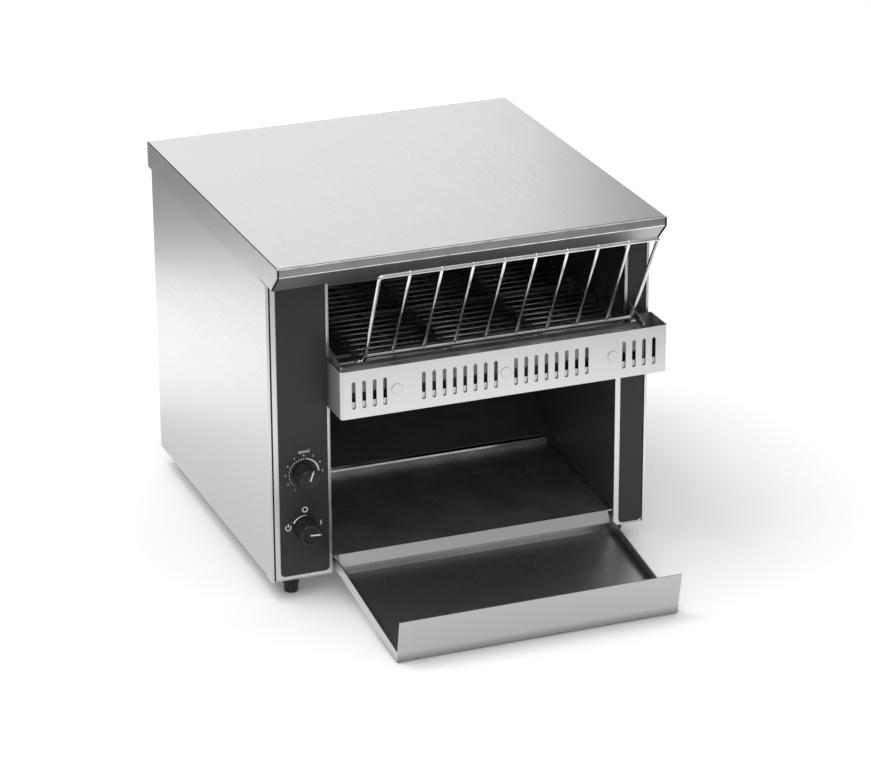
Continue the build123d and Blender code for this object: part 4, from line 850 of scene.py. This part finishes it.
# %% Rack bars
bar_rule, given = new_rule("bar_rule", Bars=WHOLE, Start=PLACE, Step=PLACE, Lean=PLACE, Finish=FINISH)
row = {"Count": given["Bars"], "Start Location": given["Start"], "Offset": given["Step"]}
row = add(bar_rule, "GeometryNodeMeshLine", row, mode="OFFSET").outputs["Mesh"]
leaning = add(bar_rule, "FunctionNodeEulerToRotation", {"Euler": given["Lean"]}).outputs["Rotation"]
placed = {"Points": row, "Instance": given["Shape"], "Rotation": leaning}
bars = add(bar_rule, "GeometryNodeInstanceOnPoints", placed).outputs["Instances"]
close_rule(bar_rule, bars, given["Finish"])

bar_count = 8
bar_margin = 28.4
bar_radius = 1.45
bar_length = math.hypot(1, rack_lean / rack_rise) * (rack_rise - foot_rise) + 2.6
bar_profile = [
    (0, 0), (bar_radius, 0.01), (bar_radius, bar_length - 1.0), (1.1, bar_length - 0.3), (0, bar_length),
]
first_bar = rack_top_left + bar_margin
bar_pitch = (rack_top_right - bar_margin - first_bar) / (bar_count - 1)
bar_sizes = {"Bars": bar_count, "Start": Vector(on_rack(first_bar, foot_rise)) * MM}
bar_sizes.update({"Step": (bar_pitch * MM, 0, 0), "Lean": (math.atan2(rack_lean, rack_rise), 0, 0)})
pin = turned("rack_bar", bar_profile, (0, 0, 1), (0, 0, 0), steps=12)
rack_bars = grow("rack_bars", bar_rule, pin, Finish=finish["chrome_wire"], **bar_sizes)
fit(rack_frame, body_of["bread_rack"], "chrome_wire", "bread_rack")
fit(rack_bars, body_of["bread_rack"], "chrome_wire", "bread_rack")

# %% Rack eyes
eye_radius, eye_wire, eye_steps = 3.1, 1.0, 24
outer_eye, inner_eye = 2.5, 4.7
eye_turns = [2 * math.pi * step / eye_steps for step in range(eye_steps)]
eye_circle = [(rack_y + eye_radius * math.cos(a), rack_z + eye_radius * math.sin(a)) for a in eye_turns]
eye_places = [pivot_left + outer_eye, pivot_left + inner_eye]
eye_places += [pivot_right - inner_eye, pivot_right - outer_eye]
eye_rings = [[(x, y, z) for y, z in eye_circle] for x in eye_places]
rack_eyes = wire("rack_eyes", eye_rings, eye_wire, finish["chrome_wire"], closed=True)
fit(rack_eyes, "chassis", "chrome_wire")
print("rack:", len(rack_frame.data.polygons) + len(rack_bars.data.polygons), "faces")


# %% [markdown]
# ## Knobs
#
# Each knob is a moulded cap: a short skirt, a barely tapered barrel and a face with a shallow
# dish. A spun profile gives all of that from a dozen points. Its white pointer is a raised bar in
# the face, so it turns with the knob.

# %% Knobs
knob_x, speed_z, mode_z = -151.8, 122.0, 68.5
speed_rest, mode_rest = 20.0, 93.5
knob_back, knob_front = -171.4, -189.2
knob_depth = knob_back - knob_front
knob_profile = [
    (0, 0), (8.6, 0), (10.0, 0), (10.3, 0.3), (10.3, 2.1), (10.1, 2.5), (9.9, 2.9),
    (9.75, knob_depth - 1.7), (9.6, knob_depth - 0.8), (9.2, knob_depth - 0.2), (8.7, knob_depth),
    (8.3, knob_depth), (8.05, knob_depth - 0.25), (7.8, knob_depth - 0.3), (4.0, knob_depth - 0.3),
    (0, knob_depth - 0.3),
]
white_ink = coated("white_ink", (0.93, 0.93, 0.92), 0.5, grain=2500.0, bump=0.05, vary=0.06)
pointer_size = (1.4, 0.45, 10.4)
pointer_middle = 4.2
pointer_round = 0.18
face_dish = 0.25


def pointer(name, knob_z, turn):
    """Rounded bar on a knob's face from its centre to its rim, turned clockwise from the top."""
    work = bmesh.new()
    bmesh.ops.create_cube(work, size=1.0)
    bmesh.ops.scale(work, vec=Vector(pointer_size) * MM, verts=work.verts)
    bmesh.ops.bevel(work, geom=work.edges[:], offset=pointer_round * MM, segments=2, affect="EDGES")
    bmesh.ops.translate(work, vec=(0, 0, pointer_middle * MM), verts=work.verts)
    place = Matrix.Translation(Vector((knob_x, knob_front + face_dish, knob_z)) * MM)
    work.transform(place @ Matrix.Rotation(math.radians(turn), 4, "Y"))
    return link(name, plain_mesh(name, work, white_ink))


for knob, knob_z, turn in (("speed_knob", speed_z, speed_rest), ("mode_knob", mode_z, mode_rest)):
    cap_mesh = turned(knob + "_cap", knob_profile, (0, -1, 0), (knob_x, knob_back, knob_z), steps=64)
    cap_mesh.materials.append(finish["knob_plastic"])
    fit(link(knob + "_cap", cap_mesh), body_of[knob], "knob_plastic", knob)
    fit(pointer(knob + "_pointer", knob_z, turn), body_of[knob], "knob_plastic")
print("knob depth:", round(knob_depth, 2), "mm")


# %% [markdown]
# ## Dial prints
#
# The film on the left column is printed in white: a scale that swells from slow to fast, the
# numbers around it, and the usual signs for off, on and standby. Prints could be painted in a
# texture, but thin real shapes stay sharp at any distance. Each one is a flat outline given the
# thickness of a coat of ink.

# %% Print helpers
film_face = -170.6
ink_depth = 0.06
ink_step = 0.05


def print_shapes(name, outlines):
    """Thin printed shapes from closed outlines of (x, z) points in millimetres, seen from the front."""
    work = bmesh.new()
    for shape in outlines:
        front = [Vector((x, film_face - ink_depth, z)) * MM for x, z in shape]
        face = work.faces.new([work.verts.new(corner) for corner in front])
        walls = bmesh.ops.extrude_face_region(work, geom=[face])["geom"]
        moved = [item for item in walls if isinstance(item, bmesh.types.BMVert)]
        bmesh.ops.translate(work, vec=(0, ink_step * MM, 0), verts=moved)
    bmesh.ops.recalc_face_normals(work, faces=work.faces)
    return link(name, plain_mesh(name, work, white_ink))


def around(centre, radius, turn):
    """Point at a clockwise turn from the top of a dial."""
    angle = math.radians(turn)
    return (centre[0] + radius * math.sin(angle), centre[1] + radius * math.cos(angle))


def band(centre, radius, from_turn, to_turn, from_width, to_width, steps=24):
    """Outline of an arc whose width runs from one value to another."""
    outer, inner = [], []
    for step in range(steps + 1):
        t = step / steps
        turn = from_turn + (to_turn - from_turn) * t
        half_width = (from_width + (to_width - from_width) * t) / 2
        outer.append(around(centre, radius + half_width, turn))
        inner.append(around(centre, radius - half_width, turn))
    return outer + inner[::-1]


def lettering(name, words, size, centre):
    """Printed word or number, centred on a point of the film."""
    text = bpy.data.curves.new(name, "FONT")
    text.body = words
    text.size = size * MM
    text.align_x = "CENTER"
    text.align_y = "CENTER"
    text.extrude = ink_depth * MM / 2
    piece = settle(link(name, text))
    place = Matrix.Translation(Vector((centre[0], film_face - ink_depth / 2, centre[1])) * MM)
    piece.data.transform(place @ Matrix.Rotation(math.pi / 2, 4, "X"))
    piece.data.materials.clear()
    piece.data.materials.append(white_ink)
    return piece


# %% Speed dial print
speed_centre = (knob_x, speed_z)
scale_radius, number_radius = 14.0, 17.6
dash_half, thinnest, growth = 2.6, 0.35, 0.055
swelling = [(9, 60, 0.8, 1.7), (60, 88, 1.7, 1.4)]
word_size, word_place = 4.6, (knob_x + 0.3, 143.2)
number_size, first_number, number_step = 3.0, -150, 30
dash_turns = [-140, -128, -116, -104, -92, -80, -70, -60, -50, -40, -30, -20, -10, 0]
scale_shapes = []
for position, turn in enumerate(dash_turns):
    width = thinnest + growth * position
    ends = (turn - dash_half, turn + dash_half)
    scale_shapes.append(band(speed_centre, scale_radius, *ends, width, width, steps=3))
for arc in swelling:
    scale_shapes.append(band(speed_centre, scale_radius, *arc))
prints = [print_shapes("speed_scale", scale_shapes)]
prints.append(lettering("speed_word", "speed", word_size, word_place))
for number in range(9):
    numeral_place = around(speed_centre, number_radius, first_number + number_step * number)
    prints.append(lettering(f"speed_number_{number + 1}", str(number + 1), number_size, numeral_place))
print("scale shapes:", len(scale_shapes))

# %% Mode dial print
def bar(centre, half_width, low, high):
    """Outline of an upright bar between two rises from a point."""
    corners = [(-half_width, low), (half_width, low), (half_width, high), (-half_width, high)]
    return [(centre[0] + x, centre[1] + z) for x, z in corners]


mode_centre = (knob_x, mode_z)
off_centre, on_centre, standby_centre = (-151.5, 86.5), (-136.5, 71.5), (-167.6, 70.9)
off_radius, off_stroke = 2.3, 1.15
standby_radius, standby_stroke, standby_gap = 2.5, 0.95, 35
sweep_radius, sweep_from, sweep_to, sweep_start, sweep_end = 12.2, -61, 8, 1.7, 0.5
signs = [band(off_centre, off_radius, turn, turn + 180, off_stroke, off_stroke) for turn in (0, 180)]
signs.append(bar(on_centre, 0.5, -2.3, 2.3))
signs.append(band(standby_centre, standby_radius, standby_gap, 180, standby_stroke, standby_stroke))
signs.append(band(standby_centre, standby_radius, 180, 360 - standby_gap, standby_stroke, standby_stroke))
signs.append(bar(standby_centre, 0.4, 0.4, 3.6))
signs.append(band(mode_centre, sweep_radius, sweep_from, sweep_to, sweep_start, sweep_end))
prints.append(print_shapes("mode_signs", signs))
for item in prints:
    fit(item, body_of["left_overlay"], "black_overlay")
print("prints:", len(prints))


# %% [markdown]
# ## Back panel screws
#
# Pan-head screws with a cross recess hold the back panel. The cross could be cut with a Boolean,
# but rings of points and one filled face give a cleaner mesh. A grid rule sets out two columns of
# three.

# %% Screw head
def pan_head(name, radius, rise):
    """Pan head along +Z, with a cross recess pressed into its top."""
    work = bmesh.new()
    sides = 20
    turns = [2 * math.pi * step / sides for step in range(sides)]
    steps = [(radius, 0.0), (radius, rise * 0.45), (radius * 0.86, rise * 0.85), (radius * 0.66, rise)]
    rings = []
    for wide, height in steps:
        rings.append([work.verts.new((wide * math.cos(a), wide * math.sin(a), height)) for a in turns])
    for low, high in zip(rings, rings[1:]):
        for step in range(sides):
            after = (step + 1) % sides
            work.faces.new((low[step], low[after], high[after], high[step]))
    work.faces.new(rings[0][::-1])
    arm, half, pit_rise, narrowing = radius * 0.5, radius * 0.11, rise * 0.45, 0.7
    corner = [(half, half), (half, arm), (-half, arm), (-half, half), (-arm, half), (-arm, -half)]
    corner += [(-half, -half), (-half, -arm), (half, -arm), (half, -half), (arm, -half), (arm, half)]
    mouth = [work.verts.new((x, y, rise)) for x, y in corner]
    pit = [work.verts.new((x * narrowing, y * narrowing, pit_rise)) for x, y in corner]
    count = len(corner)
    rims = [work.edges.new((mouth[i], mouth[(i + 1) % count])) for i in range(count)]
    top_ring = rings[-1]
    circle = [work.edges.get((top_ring[i], top_ring[(i + 1) % sides])) for i in range(sides)]
    bmesh.ops.triangle_fill(work, edges=rims + circle, use_beauty=True)
    for i in range(count):
        work.faces.new((mouth[i], mouth[(i + 1) % count], pit[(i + 1) % count], pit[i]))
    work.faces.new(pit)
    bmesh.ops.recalc_face_normals(work, faces=work.faces)
    work.transform(Matrix.Scale(MM, 4))
    return plain_mesh(name, work)


# %% Grid rule
grid_inputs = {"Width": LENGTH, "Height": LENGTH, "Columns": WHOLE, "Rows": WHOLE}
grid_rule, given = new_rule("grid_rule", **grid_inputs, Centre=PLACE, Turn=PLACE, Finish=FINISH)
grid = {"Size X": given["Width"], "Size Y": given["Height"]}
grid.update({"Vertices X": given["Columns"], "Vertices Y": given["Rows"]})
grid = add(grid_rule, "GeometryNodeMeshGrid", grid).outputs["Mesh"]
turning = add(grid_rule, "FunctionNodeEulerToRotation", {"Euler": given["Turn"]}).outputs["Rotation"]
standing = {"Geometry": grid, "Rotation": turning, "Translation": given["Centre"]}
grid = add(grid_rule, "GeometryNodeTransform", standing).outputs["Geometry"]
placed = {"Points": grid, "Instance": given["Shape"], "Rotation": turning}
heads = add(grid_rule, "GeometryNodeInstanceOnPoints", placed).outputs["Instances"]
close_rule(grid_rule, heads, given["Finish"])

# %% Screws
screw_low, screw_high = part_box("panel_screws")
screw_radius, screw_rise, panel_face = 3.6, 1.8, 170.0
screw_sizes = {"Width": screw_high[0] - screw_low[0] - 2 * screw_radius * MM, "Columns": 2, "Rows": 3}
screw_sizes["Height"] = screw_high[2] - screw_low[2] - 2 * screw_radius * MM
screw_sizes["Centre"] = (0.0, panel_face * MM, (screw_low[2] + screw_high[2]) / 2)
screw_sizes["Turn"] = (-math.pi / 2, 0, 0)
head = pan_head("screw_head", screw_radius, screw_rise)
screws = grow("back_screws", grid_rule, head, Finish=finish["zinc_steel"], **screw_sizes)
fit(screws, body_of["panel_screws"], "zinc_steel", "panel_screws")
print("screws:", [round(v, 4) for v in screws.bound_box[6]])

# %% [markdown]
# ## Feet
#
# Each rubber foot is moulded: a collar against the base pan, a slightly tapered stem with a
# rounded sole, and a hole in the sole for the screw head. It is turned from one closed profile,
# and the grid rule sets out the four.

# %% Feet
foot_bore, foot_hollow, foot_hollow_rise = 2.1, 4.3, 5.0
foot_collar, foot_stem, foot_sole, foot_height = 7.5, 6.8, 5.6, 19.0
foot_profile = [
    (foot_bore, foot_height), (foot_bore, foot_hollow_rise), (foot_hollow, foot_hollow_rise),
    (foot_hollow, 0.4), (foot_hollow + 0.3, 0.0), (foot_sole, 0.0), (foot_sole + 0.6, 0.3),
    (foot_stem - 0.3, 1.2), (foot_stem - 0.2, 2.4), (foot_stem, 7.6), (foot_stem + 0.1, 8.1),
    (foot_collar - 0.2, 8.4), (foot_collar, 8.9),
    (foot_collar, foot_height - 0.4), (foot_collar - 0.3, foot_height), (foot_bore, foot_height),
]
foot_low, foot_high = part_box("feet")
foot_sizes = {"Columns": 2, "Rows": 2, "Centre": (0.0, 0.0, 0.0), "Turn": (0.0, 0.0, 0.0)}
foot_sizes["Width"] = foot_high[0] - foot_low[0] - 2 * foot_collar * MM
foot_sizes["Height"] = foot_high[1] - foot_low[1] - 2 * foot_collar * MM
foot = turned("foot", foot_profile, (0, 0, 1), (0, 0, 0))
rubber_feet = grow("rubber_feet", grid_rule, foot, Finish=finish["foot_rubber"], **foot_sizes)
fit(rubber_feet, body_of["feet"], "foot_rubber", "feet")
print("feet:", [round(v, 4) for v in rubber_feet.bound_box[6]])
